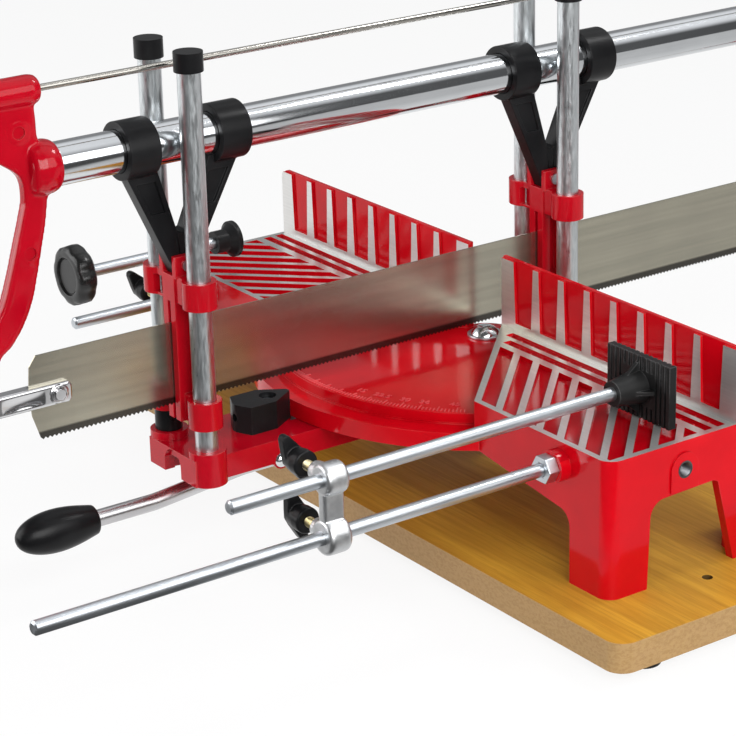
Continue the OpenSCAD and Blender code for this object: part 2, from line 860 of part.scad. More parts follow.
// Outer curve of the closed handle, seen along the fence
module handle_outer() {
    f = blade_front;
    polygon(smooth([
        [f + 12, tube_z + 16], [f + 11.5, tube_z + 28], [f + 8, tube_z + 42], [f - 14, tube_z + 47],
        [f - 42, tube_z + 43], [f - 66, tube_z + 27], [f - 84, tube_z], [f - 93, tube_z - 33],
        [f - 93, tube_z - 68], [f - 84, tube_z - 96], [f - 66, clip_z - 6], [f - 46, clip_z - 12],
        [f - 30, clip_z - 8], [f - 24, clip_z + 9], [f - 16.7, tube_z - 92], [f - 9.7, tube_z - 86],
        [f - 2.4, tube_z - 76.5], [f + 3.4, tube_z - 64.5], [f + 7, tube_z - 52], [f + 9.6, tube_z - 41.5],
        [f + 12.8, tube_z - 29], [f + 14.6, tube_z - 19], [f + 15.8, tube_z - 9.5], [f + 14.5, tube_z + 3]
    ]));
}

// Inner curve, round the hand
module handle_inner() {
    f = blade_front;
    polygon(smooth([
        [f - 3.4, tube_z + 5], [f - 17, tube_z + 12], [f - 34, tube_z + 13], [f - 48, tube_z + 5],
        [f - 59, tube_z - 18], [f - 64, tube_z - 48], [f - 62, tube_z - 78], [f - 52, clip_z + 19],
        [f - 38, clip_z + 16], [f - 23, tube_z - 86], [f - 15, tube_z - 75], [f - 8.6, tube_z - 65],
        [f - 3.8, tube_z - 52], [f - 0.8, tube_z - 42.5], [f + 2.1, tube_z - 33], [f + 5, tube_z - 23.5],
        [f + 7.2, tube_z - 14], [f + 5.6, tube_z - 3]
    ]));
}

// Centres of the handle's screws
module at_handle_screws() {
    f = blade_front;
    for (p = [[f + 3, tube_z + 20], [f + 4.5, tube_z - 41], [f - 77, tube_z - 60], [f - 48, clip_z + 4]])
        translate([0, p[0], p[1]]) children();
}

// One half of the handle, on the side that s names
module handle_half(s) {
    f = blade_front;
    lo = s > 0 ? 0 : -1;
    color("red") difference() {
        union() {
            yz_plate(lo * handle_x, (1 + lo) * handle_x) difference() {
                handle_outer();
                handle_inner();
            }
            yz_plate(lo * grip_x, (1 + lo) * grip_x) difference() {
                handle_outer();
                handle_inner();
                translate([f - grip_from, clip_z - 40]) square([2 * grip_from, tube_z]);
            }
            intersection() {
                union() {
                    cyl_y(socket_r, tube_front - socket_t, tube_front + socket_l - 2, 0, tube_z);
                    cyl_y(socket_r - 1, tube_front - socket_t, tube_front + socket_l - 1, 0, tube_z);
                    translate([0, tube_front - socket_t, tube_z]) rotate([90, 0, 0])
                        cylinder(r1 = socket_r, r2 = handle_x + 1, h = 5);
                    cyl_y(spigot_r, tube_front - socket_t, tube_front + spigot_l, 0, tube_z);
                    cyl_y(boss_rod_r, f - 22, f + 16, 0, rod_axis_z);
                }
                box([lo * grip_from, f - grip_from, clip_z],
                    [(1 + lo) * grip_from, f + grip_from, post_z + grip_from]);
            }
        }
        difference() {
            cyl_y(tube_r + run, tube_front, tube_front + 2 * socket_l, 0, tube_z);
            cyl_y(spigot_r, tube_front - 1, tube_front + spigot_l, 0, tube_z);
        }
        cyl_y(rod_r + run, f - rod_head_y, f + grip_from, 0, rod_axis_z);
        cyl_y(2 * rod_r + run, f - rod_head_y - 2, f - rod_head_y + 1, 0, rod_axis_z);
        cyl_y(stem_r + run, f - stem_l - 1, f, 0, clip_z);
        cyl_y(2 * stem_r + run, f - stem_l - stem_head, f - stem_l, 0, clip_z);
        box([-clip_x - free, f + clip_over - clip_l - free, clip_z - clip_h],
            [clip_x + free, f + grip_from, clip_z + clip_h / 2 + free]);
        at_handle_screws() {
            cyl_x(handle_screw_r, -grip_x, grip_x + 1, 0, 0);
            cyl_x(handle_head_r + free, handle_x - head_sink, grip_x + 5, 0, 0);
        }
    }
}

module handle_right() { handle_half(1); }

module handle_left() { handle_half(-1); }

module handle_screws() {
    color("silver") at_handle_screws() {
        cyl_x(handle_screw_r, -handle_x + 1, handle_x - head_sink + 0.5, 0, 0);
        cyl_x(handle_head_r, handle_x - head_sink, handle_x - head_sink + 1.5, 0, 0);
    }
}

// Rear end of the frame
module rear_arm() {
    b = blade_back;
    color("red") difference() {
        union() {
            yz_plate(-rear_x, rear_x) polygon(smooth([
                [b - 4, rod_axis_z + 7], [b - 11, rod_axis_z], [b - 14, tube_z + 18], [b - 17, tube_z],
                [b - 15, tube_z - 24], [b - 10, tube_z - 54], [b - 2, tube_z - 82], [b + 10, tube_z - 104],
                [b + 16, clip_z - 6], [b + 26, clip_z - 8], [b + 32, clip_z], [b + 26, tube_z - 100],
                [b + 14, tube_z - 80], [b + 6, tube_z - 54], [b + 1, tube_z - 24], [b - 1, tube_z],
                [b, tube_z + 18], [b + 2, rod_axis_z]
            ]));
            cyl_y(socket_r, tube_back - ferrule_l + 8, tube_back + 6, 0, tube_z);
            cyl_y(rear_x + 1, b - 14, b + 4, 0, rod_axis_z);
            cyl_y(rear_x + 2.5, b + 14, b + 34, 0, clip_z);
        }
        cyl_y(tube_r + run, tube_back - 2 * ferrule_l, tube_back, 0, tube_z);
        cyl_y(rod_r + run, b - 40, b + 20, 0, rod_axis_z);
        cyl_y(stem_r + run, b, b + stem_l + stem_head, 0, clip_z);
        box([-clip_x - free, b, clip_z - clip_h],
            [clip_x + free, b + clip_l - clip_over + free, clip_z + clip_h / 2 + free]);
    }
}

module saw_blade() {
    teeth = floor((blade_l - 2 * nose) / tooth_pitch);
    full = blade_z + 0.6 * blade_h;
    color("silver") difference() {
        yz_plate(-blade_t / 2, blade_t / 2) polygon(concat(
            [
                [blade_back - nose, blade_z + blade_h], [blade_front + nose, blade_z + blade_h],
                [blade_front + nose / 5, blade_z + 0.88 * blade_h], [blade_front, full],
                [blade_front + nose / 5, blade_z + 0.3 * blade_h], [blade_front + nose, blade_z + tooth_h]
            ],
            [for (k = [0 : teeth - 1]) each [
                [blade_front + nose + (k + 0.5) * tooth_pitch, blade_z],
                [blade_front + nose + (k + 1) * tooth_pitch, blade_z + tooth_h]
            ]],
            [
                [blade_back - nose / 5, blade_z + 0.3 * blade_h], [blade_back, full],
                [blade_back - nose / 5, blade_z + 0.88 * blade_h]
            ]
        ));
        for (y = [blade_front + pin_in, blade_back - pin_in]) cyl_x(pin_r, -2, 2, y, clip_z);
    }
}

// Slotted end clip, drawn at the front end of the blade
module clip() {
    difference() {
        union() {
            yz_plate(-clip_x, clip_x) difference() {
                translate([blade_front + clip_over - clip_l, clip_z - clip_h / 2]) square([clip_l, clip_h]);
                for (z = [clip_z - clip_h / 2, clip_z + clip_h / 2]) translate([blade_front + clip_over, z])
                    rotate(45) square(clip_cut * sqrt(2), center = true);
            }
            both() translate([clip_x - 0.5, blade_front + pin_in, clip_z]) rotate([0, 90, 0])
                cylinder(r = jaw_r, h = jaw_t + 0.5, $fn = 6);
            cyl_y(stem_r, blade_front - stem_l - 1, blade_front + clip_over - clip_l + 1, 0, clip_z);
        }
        box([-blade_t / 2, blade_front - 1, clip_z - clip_h], [blade_t / 2, 0, clip_z + clip_h]);
        cyl_x(pin_r, -10, 10, blade_front + pin_in, clip_z);
    }
}

module front_clip() {
    color("silver") union() {
        clip();
        cyl_y(2 * stem_r, blade_front - stem_l - stem_head, blade_front - stem_l, 0, clip_z);
    }
}

module rear_clip() {
    color("silver") translate([0, blade_front + blade_back, 0]) mirror([0, 1, 0]) clip();
}

module rear_clip_nut() {
    color("silver") difference() {
        translate([0, blade_back + 41, clip_z]) rotate([90, 0, 0]) cylinder(r = 7.5, h = 7, $fn = 6);
        cyl_y(stem_r, blade_back, blade_back + 60, 0, clip_z);
    }
}

module blade_pins() {
    color("silver") for (y = [blade_front + pin_in, blade_back - pin_in])
        union() {
            cyl_x(pin_r, -clip_x - jaw_t, clip_x + jaw_t, y, clip_z);
            both() cyl_x(pin_head_r, clip_x + jaw_t, clip_x + jaw_t + pin_head_h, y, clip_z);
        }
}

// Clamp pieces
module clamp_rod(x, l) {
    color("silver") union() {
        cyl_y(clamp_r, -bed_d - l + 1, -bed_d + rod_seat, x, rod_z);
        translate([x, -bed_d - l + 1, rod_z]) rotate([90, 0, 0])
            cylinder(r1 = clamp_r, r2 = clamp_r - 1, h = 1);
    }
}

module right_post_rod() { clamp_rod(clamp_x, right_rod_l); }

module left_post_rod() { clamp_rod(-clamp_x, left_rod_l); }

// Die-cast link with a boss for each wing screw
module link(x, y, heights) {
    color("gainsboro") difference() {
        union() {
            cyl_y(link_r, y - link_l / 2, y + link_l / 2, x, upper_z);
            cyl_y(link_r + 1, y - link_l / 2, y + link_l / 2, x, rod_z);
            box([x - 5, y - link_l / 2 + 1, rod_z], [x + 5, y + link_l / 2 - 1, upper_z]);
            for (z = heights) cyl_x(5, x - wing_boss_l, x, y, z);
        }
        for (z = [rod_z, upper_z]) cyl_y(clamp_r + run, y - link_l, y + link_l, x, z);
        for (z = heights) cyl_x(wing_screw_r + run, x - wing_boss_l - 1, x, y, z);
    }
}

module right_link() { link(clamp_x, link_y, [rod_z, upper_z]); }

module left_link() { link(-clamp_x, left_link_y, [rod_z]); }

// Wing screw: moulded head and plated screw
module wing_head(x, y, z, turn) {
    far = x - wing_boss_l - wing_gap;
    color("black") translate([far, y, z]) rotate([turn, 0, 0]) difference() {
        union() {
            cyl_x(wing_r, -wing_l, 0, 0, 0);
            for (s = [-1, 1]) yz_plate(-wing_l, -wing_l + wing_t) polygon([
                [-wing_r + 0.5, 0], [-wing_tip, s * wing_span], [0, s * (wing_span + 1)],
                [wing_tip, s * wing_span], [wing_r - 0.5, 0]
            ]);
        }
        cyl_x(wing_screw_r, -wing_l + 3, 1, 0, 0);
    }
}

module wing_screw(x, y, z) {
    color("khaki") cyl_x(wing_screw_r, x - wing_boss_l - wing_gap - wing_l + 3, x - clamp_r - tip_gap, y, z);
}

module right_wing_upper() { wing_head(clamp_x, link_y, upper_z, 25); }

module right_wing_lower() { wing_head(clamp_x, link_y, rod_z, 15); }

module left_wing() { wing_head(-clamp_x, left_link_y, rod_z, 35); }

module right_screw_upper() { wing_screw(clamp_x, link_y, upper_z); }

module right_screw_lower() { wing_screw(clamp_x, link_y, rod_z); }

module left_screw() { wing_screw(-clamp_x, left_link_y, rod_z); }

module right_clamp_rod() {
    color("silver") union() {
        cyl_y(clamp_r, upper_rod_front + 1, pad_y - pad_t, clamp_x, upper_z);
        translate([clamp_x, upper_rod_front + 1, upper_z]) rotate([90, 0, 0])
            cylinder(r1 = clamp_r, r2 = clamp_r - 1, h = 1);
    }
}

module right_pad() {
    y0 = pad_y - pad_t;
    color("black") difference() {
        union() {
            box([clamp_x - pad_w / 2, y0, upper_z - pad_h / 2],
                [clamp_x + pad_w / 2, pad_y, upper_z + pad_h / 2]);
            translate([clamp_x, y0, upper_z]) rotate([90, 0, 0])
                cylinder(r1 = 9, r2 = 6.5, h = pad_socket_l);
            for (a = [0 : 90 : 270]) translate([clamp_x, 0, upper_z]) rotate([0, a, 0])
                yz_plate(-1, 1) polygon([[y0, 7], [y0 - 9, 7], [y0, 14]]);
        }
        cyl_y(clamp_r, y0 - pad_socket_l - 1, y0, clamp_x, upper_z);
        for (k = [-floor(pad_w / 2 / pad_rib) : floor(pad_w / 2 / pad_rib)]) {
            x = clamp_x + k * pad_rib;
            box([x - 0.7, pad_y - 0.8, upper_z - pad_h], [x + 0.7, pad_y + 1, upper_z + pad_h]);
            near = abs(k * pad_rib) > pad_clear ? 0 : pad_clear - 1;
            box([x - 0.7, y0 - 1, upper_z + near], [x + 0.7, y0 + 0.8, upper_z + pad_h]);
            box([x - 0.7, y0 - 1, upper_z - pad_h], [x + 0.7, y0 + 0.8, upper_z - near]);
        }
    }
}

module left_spindle() {
    color("silver") cyl_y(clamp_r, knob_y + 4, foot_cup_y + 6, -clamp_x, upper_z);
}

module left_knob() {
    color("black") difference() {
        union() {
            cyl_y(knob_r - 1.5, knob_y, knob_y + knob_l - 2, -clamp_x, upper_z);
            cyl_y(8, knob_y, knob_y + knob_l, -clamp_x, upper_z);
            for (a = [0 : 360 / knob_lobes : 359])
                translate([-clamp_x, 0, upper_z]) rotate([0, a, 0])
                    cyl_y(5, knob_y + 1, knob_y + knob_l - 3, knob_r - 5, 0);
        }
        cyl_y(11, knob_y - 1, knob_y + 0.8, -clamp_x, upper_z);
        cyl_y(clamp_r, knob_y + 4, knob_y + knob_l + 1, -clamp_x, upper_z);
    }
}

module left_foot() {
    color("black") difference() {
        union() {
            cyl_y(foot_hub_r, foot_cup_y, foot_cup_y + foot_hub_l + 1, -clamp_x, upper_z);
            translate([-clamp_x, foot_cup_y + foot_hub_l + foot_flare_l, upper_z]) rotate([90, 0, 0])
                cylinder(r1 = foot_cup_r, r2 = foot_hub_r, h = foot_flare_l);
            cyl_y(foot_cup_r + 0.3, foot_cup_y + foot_hub_l + foot_flare_l - 0.5,
                foot_cup_y + foot_hub_l + foot_flare_l + 2, -clamp_x, upper_z);
        }
        cyl_y(clamp_r + run, foot_cup_y - 1, foot_cup_y + 6, -clamp_x, upper_z);
    }
}

baseboard();
rubber_feet();
base_screws();
bed_casting();
pivot_bolt();
pivot_washer();
pivot_nut();
rod_nuts();
swivel_arm();
post_front_right();
post_front_left();
post_rear_right();
post_rear_left();
post_caps();
stop_sleeves();
index_block();
index_block_screw();
lever_pin();
lever_spring();
index_lever();
index_tooth();
lever_grip();
front_carriage();
rear_carriage();
front_yoke();
rear_yoke();
front_yoke_pin();
rear_yoke_pin();
frame_tube();
tension_rod();
tension_nut();
handle_right();
handle_left();
handle_screws();
rear_arm();
saw_blade();
front_clip();
rear_clip();
rear_clip_nut();
blade_pins();
right_post_rod();
left_post_rod();
right_link();
left_link();
right_wing_upper();
right_wing_lower();
left_wing();
right_screw_upper();
right_screw_lower();
left_screw();
right_clamp_rod();
right_pad();
left_spindle();
left_knob();
left_foot();
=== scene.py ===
"""Looks of the manual mitre saw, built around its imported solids."""
import json
import math

import bmesh
import bpy
from mathutils import Matrix, Vector

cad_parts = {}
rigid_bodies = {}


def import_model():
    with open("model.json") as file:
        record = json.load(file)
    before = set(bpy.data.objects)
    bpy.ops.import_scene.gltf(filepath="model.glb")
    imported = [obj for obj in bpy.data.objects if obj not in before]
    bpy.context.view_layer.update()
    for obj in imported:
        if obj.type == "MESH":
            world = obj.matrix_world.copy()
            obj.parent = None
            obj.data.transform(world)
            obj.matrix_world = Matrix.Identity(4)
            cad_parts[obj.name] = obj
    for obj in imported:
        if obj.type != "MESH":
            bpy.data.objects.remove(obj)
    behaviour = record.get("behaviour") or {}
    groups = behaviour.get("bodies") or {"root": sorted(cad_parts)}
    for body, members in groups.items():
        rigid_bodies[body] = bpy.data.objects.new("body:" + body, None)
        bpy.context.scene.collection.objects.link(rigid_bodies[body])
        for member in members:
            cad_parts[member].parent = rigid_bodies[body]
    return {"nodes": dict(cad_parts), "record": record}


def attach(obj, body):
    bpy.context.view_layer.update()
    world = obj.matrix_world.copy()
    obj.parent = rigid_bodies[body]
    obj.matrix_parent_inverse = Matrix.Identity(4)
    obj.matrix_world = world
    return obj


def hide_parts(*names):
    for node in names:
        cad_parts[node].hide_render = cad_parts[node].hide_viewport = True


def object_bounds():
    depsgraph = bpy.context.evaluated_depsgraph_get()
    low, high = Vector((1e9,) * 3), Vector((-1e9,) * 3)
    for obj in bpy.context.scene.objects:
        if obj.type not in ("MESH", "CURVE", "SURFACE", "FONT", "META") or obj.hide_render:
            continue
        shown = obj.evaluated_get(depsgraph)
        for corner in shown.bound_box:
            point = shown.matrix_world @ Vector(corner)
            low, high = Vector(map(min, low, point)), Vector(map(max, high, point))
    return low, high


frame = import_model()
cad_box = [list(c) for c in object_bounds()]
NODES = frame["nodes"]
MM = 0.001

X, Y, Z = range(3)


def box(name):
    """Low and high corner of a solid, in millimetres."""
    corners = NODES[name].bound_box
    return [[round(v / MM, 2) for v in corners[i]] for i in (0, 6)]


def middle(name, axis):
    """Middle of a solid along an axis, in millimetres."""
    low, high = box(name)
    return (low[axis] + high[axis]) / 2


# Places that drawn pieces and finishes share with the solids, in millimetres
TABLE_TOP = 90
RECESS_FLOOR = TABLE_TOP - 4.2
FENCE_BACK = 7.5
SECTOR_TOP = 79.55
STOP_HOLE = (box("bed_casting")[1][X], -34, 75)
BLADE_LOW = box("saw_blade")[0][Z]
FRONT_Y = box("saw_blade")[0][Y]
BACK_Y = box("saw_blade")[1][Y]
TUBE_Z = middle("frame_tube", Z)
ROD_Z = middle("tension_rod", Z)
CLIP_Z = middle("blade_pins", Z)
CLIP_DROP = CLIP_Z - TUBE_Z
CLAMP_X = middle("right_post_rod", X)
UPPER_ROD_Z = middle("right_clamp_rod", Z)
LOWER_ROD_Z = middle("right_post_rod", Z)
RIGHT_LINK_Y = middle("right_link", Y)
LEFT_LINK_Y = middle("left_link", Y)
WING_OFF = CLAMP_X - box("right_wing_upper")[1][X]
KNOB_Y = box("left_knob")[0][Y]
LEVER_LOW = 36.9
GRIP_Y = box("lever_grip")[1][Y]
LUG_AXIS = (middle("lever_pin", Y), middle("lever_pin", Z))
TOOTH_Y = middle("index_tooth", Y)
TOOTH_FOOT = box("index_tooth")[0][Z]


# Shader helpers
def feed(tree, socket, value):
    """Links an output to an input, or sets the input to a plain value."""
    if isinstance(value, bpy.types.NodeSocket):
        tree.links.new(value, socket)
    else:
        socket.default_value = value


def node(tree, kind, **values):
    """New node with some of its inputs set."""
    n = tree.nodes.new(kind)
    for key, value in values.items():
        feed(tree, n.inputs[key], value)
    return n


def calc(tree, operation, *values):
    """Output of a maths node."""
    n = tree.nodes.new("ShaderNodeMath")
    n.operation = operation
    for socket, value in zip(n.inputs, values):
        feed(tree, socket, value)
    return n.outputs[0]


def times(tree, a, b):
    """Product of two values, or both of two masks."""
    return calc(tree, "MULTIPLY", a, b)


def near(tree, value, centre, half):
    """1 where a value lies within half a span of a centre."""
    return calc(tree, "COMPARE", value, centre, half)


def mix_color(tree, fac, a, b):
    """Colour that goes from one to another."""
    n = tree.nodes.new("ShaderNodeMix")
    n.data_type = "RGBA"
    for i, value in ((0, fac), (6, a), (7, b)):
        feed(tree, n.inputs[i], value)
    return n.outputs[2]


def mix_value(tree, fac, a, b):
    """Value that goes from one to another."""
    n = tree.nodes.new("ShaderNodeMix")
    for i, value in ((0, fac), (2, a), (3, b)):
        feed(tree, n.inputs[i], value)
    return n.outputs[0]


def ramp(tree, value, low, high, to_low=0.0, to_high=1.0):
    """Value mapped smoothly from one span to another, and held at its ends."""
    n = tree.nodes.new("ShaderNodeMapRange")
    n.interpolation_type = "SMOOTHSTEP"
    for i, v in enumerate((value, low, high, to_low, to_high)):
        feed(tree, n.inputs[i], v)
    return n.outputs[0]


def along(tree, vector, way):
    """How far a vector reaches along a direction."""
    n = tree.nodes.new("ShaderNodeVectorMath")
    n.operation = "DOT_PRODUCT"
    feed(tree, n.inputs[0], vector)
    feed(tree, n.inputs[1], way)
    return n.outputs["Value"]


def axes(tree, source):
    """X, Y and Z of the object coordinates or of the normal."""
    tc = tree.nodes.new("ShaderNodeTexCoord")
    return node(tree, "ShaderNodeSeparateXYZ", Vector=tc.outputs[source]).outputs


def stretched(tree, scale=(1, 1, 1)):
    """Object coordinates, scaled along each axis."""
    tc = tree.nodes.new("ShaderNodeTexCoord")
    return node(tree, "ShaderNodeMapping", Vector=tc.outputs["Object"], Scale=scale).outputs[0]


def noise(tree, vector, scale, detail=3.0, rough=0.55):
    """Noise value at a vector."""
    n = node(tree, "ShaderNodeTexNoise", Vector=vector, Scale=scale, Detail=detail, Roughness=rough)
    return n.outputs["Fac"]


def tint(color, factor):
    """Colour made lighter or darker."""
    return [c * factor for c in color[:3]] + [1]


def empty_tree(owner):
    """Node tree of a material or world, with nothing in it."""
    owner.use_nodes = True
    owner.node_tree.nodes.clear()
    return owner.node_tree


def wear_group():
    """Shared wear: a mask of the edges, a broad smudge and a fine speckle, in object space. The edge mask
    gives rubbed edges, and on the pad and knob plastics a painted highlight.
    """
    g = bpy.data.node_groups.new("wear", "ShaderNodeTree")
    for name, value in (("Edge Radius", 0.9 * MM), ("Smudge Scale", 28), ("Speckle Scale", 900)):
        g.interface.new_socket(name, in_out="INPUT", socket_type="NodeSocketFloat").default_value = value
    for name in ("Edge", "Smudge", "Speckle"):
        g.interface.new_socket(name, in_out="OUTPUT", socket_type="NodeSocketFloat")
    given = g.nodes.new("NodeGroupInput").outputs
    smudge = noise(g, stretched(g), given["Smudge Scale"], 4)
    speckle = noise(g, stretched(g), given["Speckle Scale"], 2)
    bevel = node(g, "ShaderNodeBevel", Radius=given["Edge Radius"])
    bevel.samples = 4
    geometry = g.nodes.new("ShaderNodeNewGeometry")
    turned = ramp(g, along(g, bevel.outputs[0], geometry.outputs["Normal"]), 0.985, 0.86)
    edge = times(g, turned, ramp(g, smudge, 0.42, 0.62))
    node(g, "NodeGroupOutput", Edge=edge, Smudge=smudge, Speckle=speckle)
    return g


WEAR = wear_group()


# Finishes
def new_material(name):
    """Material with a Principled shader and the shared wear."""
    m = bpy.data.materials.new(name)
    t = empty_tree(m)
    p = t.nodes.new("ShaderNodeBsdfPrincipled")
    node(t, "ShaderNodeOutputMaterial", Surface=p.outputs[0])
    w = t.nodes.new("ShaderNodeGroup")
    w.node_tree = WEAR
    return m, t, p, w.outputs


def finish(t, p, base, rough):
    """Connects the colour and roughness that change over the surface."""
    t.links.new(base, p.inputs["Base Color"])
    t.links.new(rough, p.inputs["Roughness"])


def bump(t, p, height, strength, distance):
    """Small surface relief on the shader's normal."""
    n = node(t, "ShaderNodeBump", Strength=strength, Distance=distance, Height=height)
    t.links.new(n.outputs[0], p.inputs["Normal"])


def machined(t):
    """1 on the faces that are machined bare: the tops of the tables and the fronts of the fences."""
    skin = 0.4 * MM
    _, y, z = axes(t, "Object")
    _, facing_y, facing_z = axes(t, "Normal")
    top = times(t, near(t, z, TABLE_TOP * MM, skin), near(t, facing_z, 1, 0.3))
    face = times(t, near(t, y, 0, skin), near(t, facing_y, -1, 0.3))
    face = times(t, face, calc(t, "GREATER_THAN", z, TABLE_TOP * MM - skin))
    return times(t, calc(t, "MAXIMUM", top, face), calc(t, "LESS_THAN", y, FENCE_BACK * MM))


def recess_shade_mask(t):
    """1 on the floors of the recesses in the tables, where painted shade goes."""
    height = near(t, axes(t, "Object")[2], RECESS_FLOOR * MM, 3 * MM)
    return times(t, height, near(t, axes(t, "Normal")[2], 1, 0.5))


def paint(name, color, gloss=0.28, casting=False):
    """Gloss paint. On the casting it has painted shade in the recesses and is missing on the machined faces.
    """
    m, t, p, w = new_material(name)
    shade = mix_color(t, ramp(t, w["Smudge"], 0.25, 0.75), tint(color, 0.82), color)
    base = mix_color(t, times(t, w["Edge"], 0.16), shade, (0.80, 0.30, 0.28, 1))
    rough = ramp(t, w["Smudge"], 0.2, 0.8, 0.08, 0.15)
    if casting:
        # Painted shade: the floors of the recesses are darkened.
        base = mix_color(t, times(t, recess_shade_mask(t), 0.6), base, (0.26, 0.001, 0.005, 1))
        streak = noise(t, stretched(t, (30, 900, 900)), 1.0, 4)
        alloy = mix_color(t, streak, (0.58, 0.575, 0.56, 1), (0.78, 0.775, 0.76, 1))
        bare = machined(t)
        base = mix_color(t, bare, base, alloy)
        rough = mix_value(t, bare, rough, 0.36)
        t.links.new(times(t, bare, 0.85), p.inputs["Metallic"])
    finish(t, p, base, rough)
    p.inputs["Specular IOR Level"].default_value = gloss
    bump(t, p, noise(t, stretched(t), 160, 2), 0.03, 0.6 * MM)
    return m


def plastic(name, color, rough, relief, edge_rub_and_highlight=0.12, gloss=0.16):
    """Moulded plastic or rubber, paler on its edges: rubbed wear, and where the edge share is large a painted
    highlight.
    """
    m, t, p, w = new_material(name)
    light = [c * 1.6 + 0.003 for c in color[:3]] + [1]
    shade = mix_color(t, ramp(t, w["Smudge"], 0.3, 0.7), color, light)
    # Paler edges: rubbed wear, and with a large edge share a painted highlight.
    base = mix_color(t, times(t, w["Edge"], edge_rub_and_highlight), shade, (0.12, 0.12, 0.12, 1))
    finish(t, p, base, ramp(t, w["Smudge"], 0.2, 0.8, rough - 0.07, rough + 0.07))
    p.inputs["Specular IOR Level"].default_value = gloss
    bump(t, p, w["Speckle"], relief, 0.3 * MM)
    return m


def metal(name, color, rough, grain, streak):
    """Plated or brushed metal, with streaks stretched by the grain's scale on each axis."""
    m, t, p, w = new_material(name)
    lines = noise(t, stretched(t, grain), 1.0, 4)
    shade = mix_color(t, ramp(t, lines, 0.3, 0.7), tint(color, 1 - streak), color)
    shade = mix_color(t, ramp(t, w["Smudge"], 0.35, 0.7, 0, 0.25), shade, tint(color, 0.75))
    base = mix_color(t, times(t, w["Edge"], 0.4), shade, (0.9, 0.9, 0.9, 1))
    finish(t, p, base, ramp(t, lines, 0.2, 0.8, rough * 0.75, rough * 1.25))
    p.inputs["Metallic"].default_value = 1
    bump(t, p, lines, 0.06, 0.3 * MM)
    return m


def saw_steel(name):
    """Polished saw steel with faint marks and a dark hardened strip along the teeth."""
    m, t, p, w = new_material(name)
    lines = noise(t, stretched(t, (40, 5, 240)), 1.0, 2)
    shade = mix_color(t, ramp(t, lines, 0.3, 0.7), (0.45, 0.43, 0.345, 1), (0.53, 0.50, 0.40, 1))
    shade = mix_color(t, ramp(t, w["Smudge"], 0.2, 0.8, 0, 0.25), shade, (0.36, 0.335, 0.285, 1))
    strip = ramp(t, axes(t, "Object")[2], (BLADE_LOW + 5.2) * MM, (BLADE_LOW + 3.6) * MM)
    base = mix_color(t, times(t, strip, 0.9), shade, (0.045, 0.042, 0.040, 1))
    finish(t, p, base, ramp(t, w["Smudge"], 0.2, 0.8, 0.23, 0.27))
    p.inputs["Metallic"].default_value = 0.97
    return m


def outer_rim(t, name, depth):
    """1 near the outer sides of a solid, as seen from above."""
    place = axes(t, "Object")
    corners = NODES[name].bound_box
    rims = []
    for axis in (0, 1):
        low, high = corners[0][axis], corners[6][axis]
        off = calc(t, "ABSOLUTE", calc(t, "SUBTRACT", place[axis], (low + high) / 2))
        rims.append(calc(t, "GREATER_THAN", off, (high - low) / 2 - depth))
    return calc(t, "MAXIMUM", *rims)


def laminate(name):
    """Laminate board: long grain on its faces, wood chips on its cut edges, and painted shade inside its
    holes.
    """
    m, t, p, w = new_material(name)
    waves = noise(t, stretched(t, (3.2, 26, 26)), 3.0, 4)
    grain = noise(t, stretched(t, (14, 420, 420)), 1.0, 5, 0.7)
    pores = ramp(t, noise(t, stretched(t, (60, 1500, 1500)), 1.0, 2), 0.62, 0.72)
    tone = mix_color(t, ramp(t, waves, 0.3, 0.7), (0.46, 0.225, 0.022, 1), (0.60, 0.325, 0.034, 1))
    tone = mix_color(t, ramp(t, grain, 0.35, 0.7, 0, 0.6), tone, (0.32, 0.15, 0.016, 1))
    tone = mix_color(t, times(t, pores, 0.35), tone, (0.20, 0.09, 0.03, 1))
    chips = ramp(t, noise(t, stretched(t, (420, 420, 700)), 1.0, 3, 0.7), 0.42, 0.62)
    core = mix_color(t, chips, (0.35, 0.225, 0.105, 1), (0.29, 0.18, 0.08, 1))
    # Painted shade: the walls of the holes, away from the outer sides, are nearly black.
    cut = mix_color(t, outer_rim(t, "baseboard", 9 * MM), (0.05, 0.03, 0.015, 1), core)
    side = ramp(t, calc(t, "ABSOLUTE", axes(t, "Normal")[2]), 0.8, 0.5)
    tone = mix_color(t, times(t, side, 0.9), tone, cut)
    base = mix_color(t, times(t, w["Edge"], 0.25), tone, (0.55, 0.38, 0.20, 1))
    finish(t, p, base, ramp(t, grain, 0.2, 0.8, 0.32, 0.46))
    p.inputs["Specular IOR Level"].default_value = 0.2
    bump(t, p, grain, 0.12, 0.3 * MM)
    return m


MAT = {
    "board": laminate("board_laminate"),
    "rubber": plastic("black_rubber", (0.008, 0.008, 0.008, 1), 0.55, 0.2),
    "red_casting": paint("red_paint_on_casting", (0.54, 0.0015, 0.007, 1), 0.22, casting=True),
    "red_plastic": paint("red_gloss_plastic", (0.42, 0.003, 0.010, 1)),
    "black_plastic": plastic("black_plastic", (0.0045, 0.0045, 0.005, 1), 0.33, 0.10),
    "zinc": metal("zinc_plate", (0.63, 0.665, 0.70, 1), 0.34, (260, 18, 260), 0.16),
    "bright": metal("bright_steel", (0.78, 0.78, 0.79, 1), 0.14, (200, 20, 200), 0.12),
    "chrome_tube": metal("chromed_tube", (0.76, 0.78, 0.80, 1), 0.10, (220, 12, 220), 0.08),
    "blade_steel": saw_steel("blade_steel"),
    "dark_steel": metal("dark_steel", (0.16, 0.16, 0.17, 1), 0.4, (200, 200, 200), 0.3),
    "die_cast": metal("die_cast_alloy", (0.72, 0.73, 0.74, 1), 0.38, (150, 150, 150), 0.2),
    "yellow_zinc": metal("yellow_zinc", (0.72, 0.60, 0.30, 1), 0.3, (60, 300, 300), 0.2),
}
ENAMEL = paint("deep_red_enamel", (0.40, 0.0015, 0.010, 1))
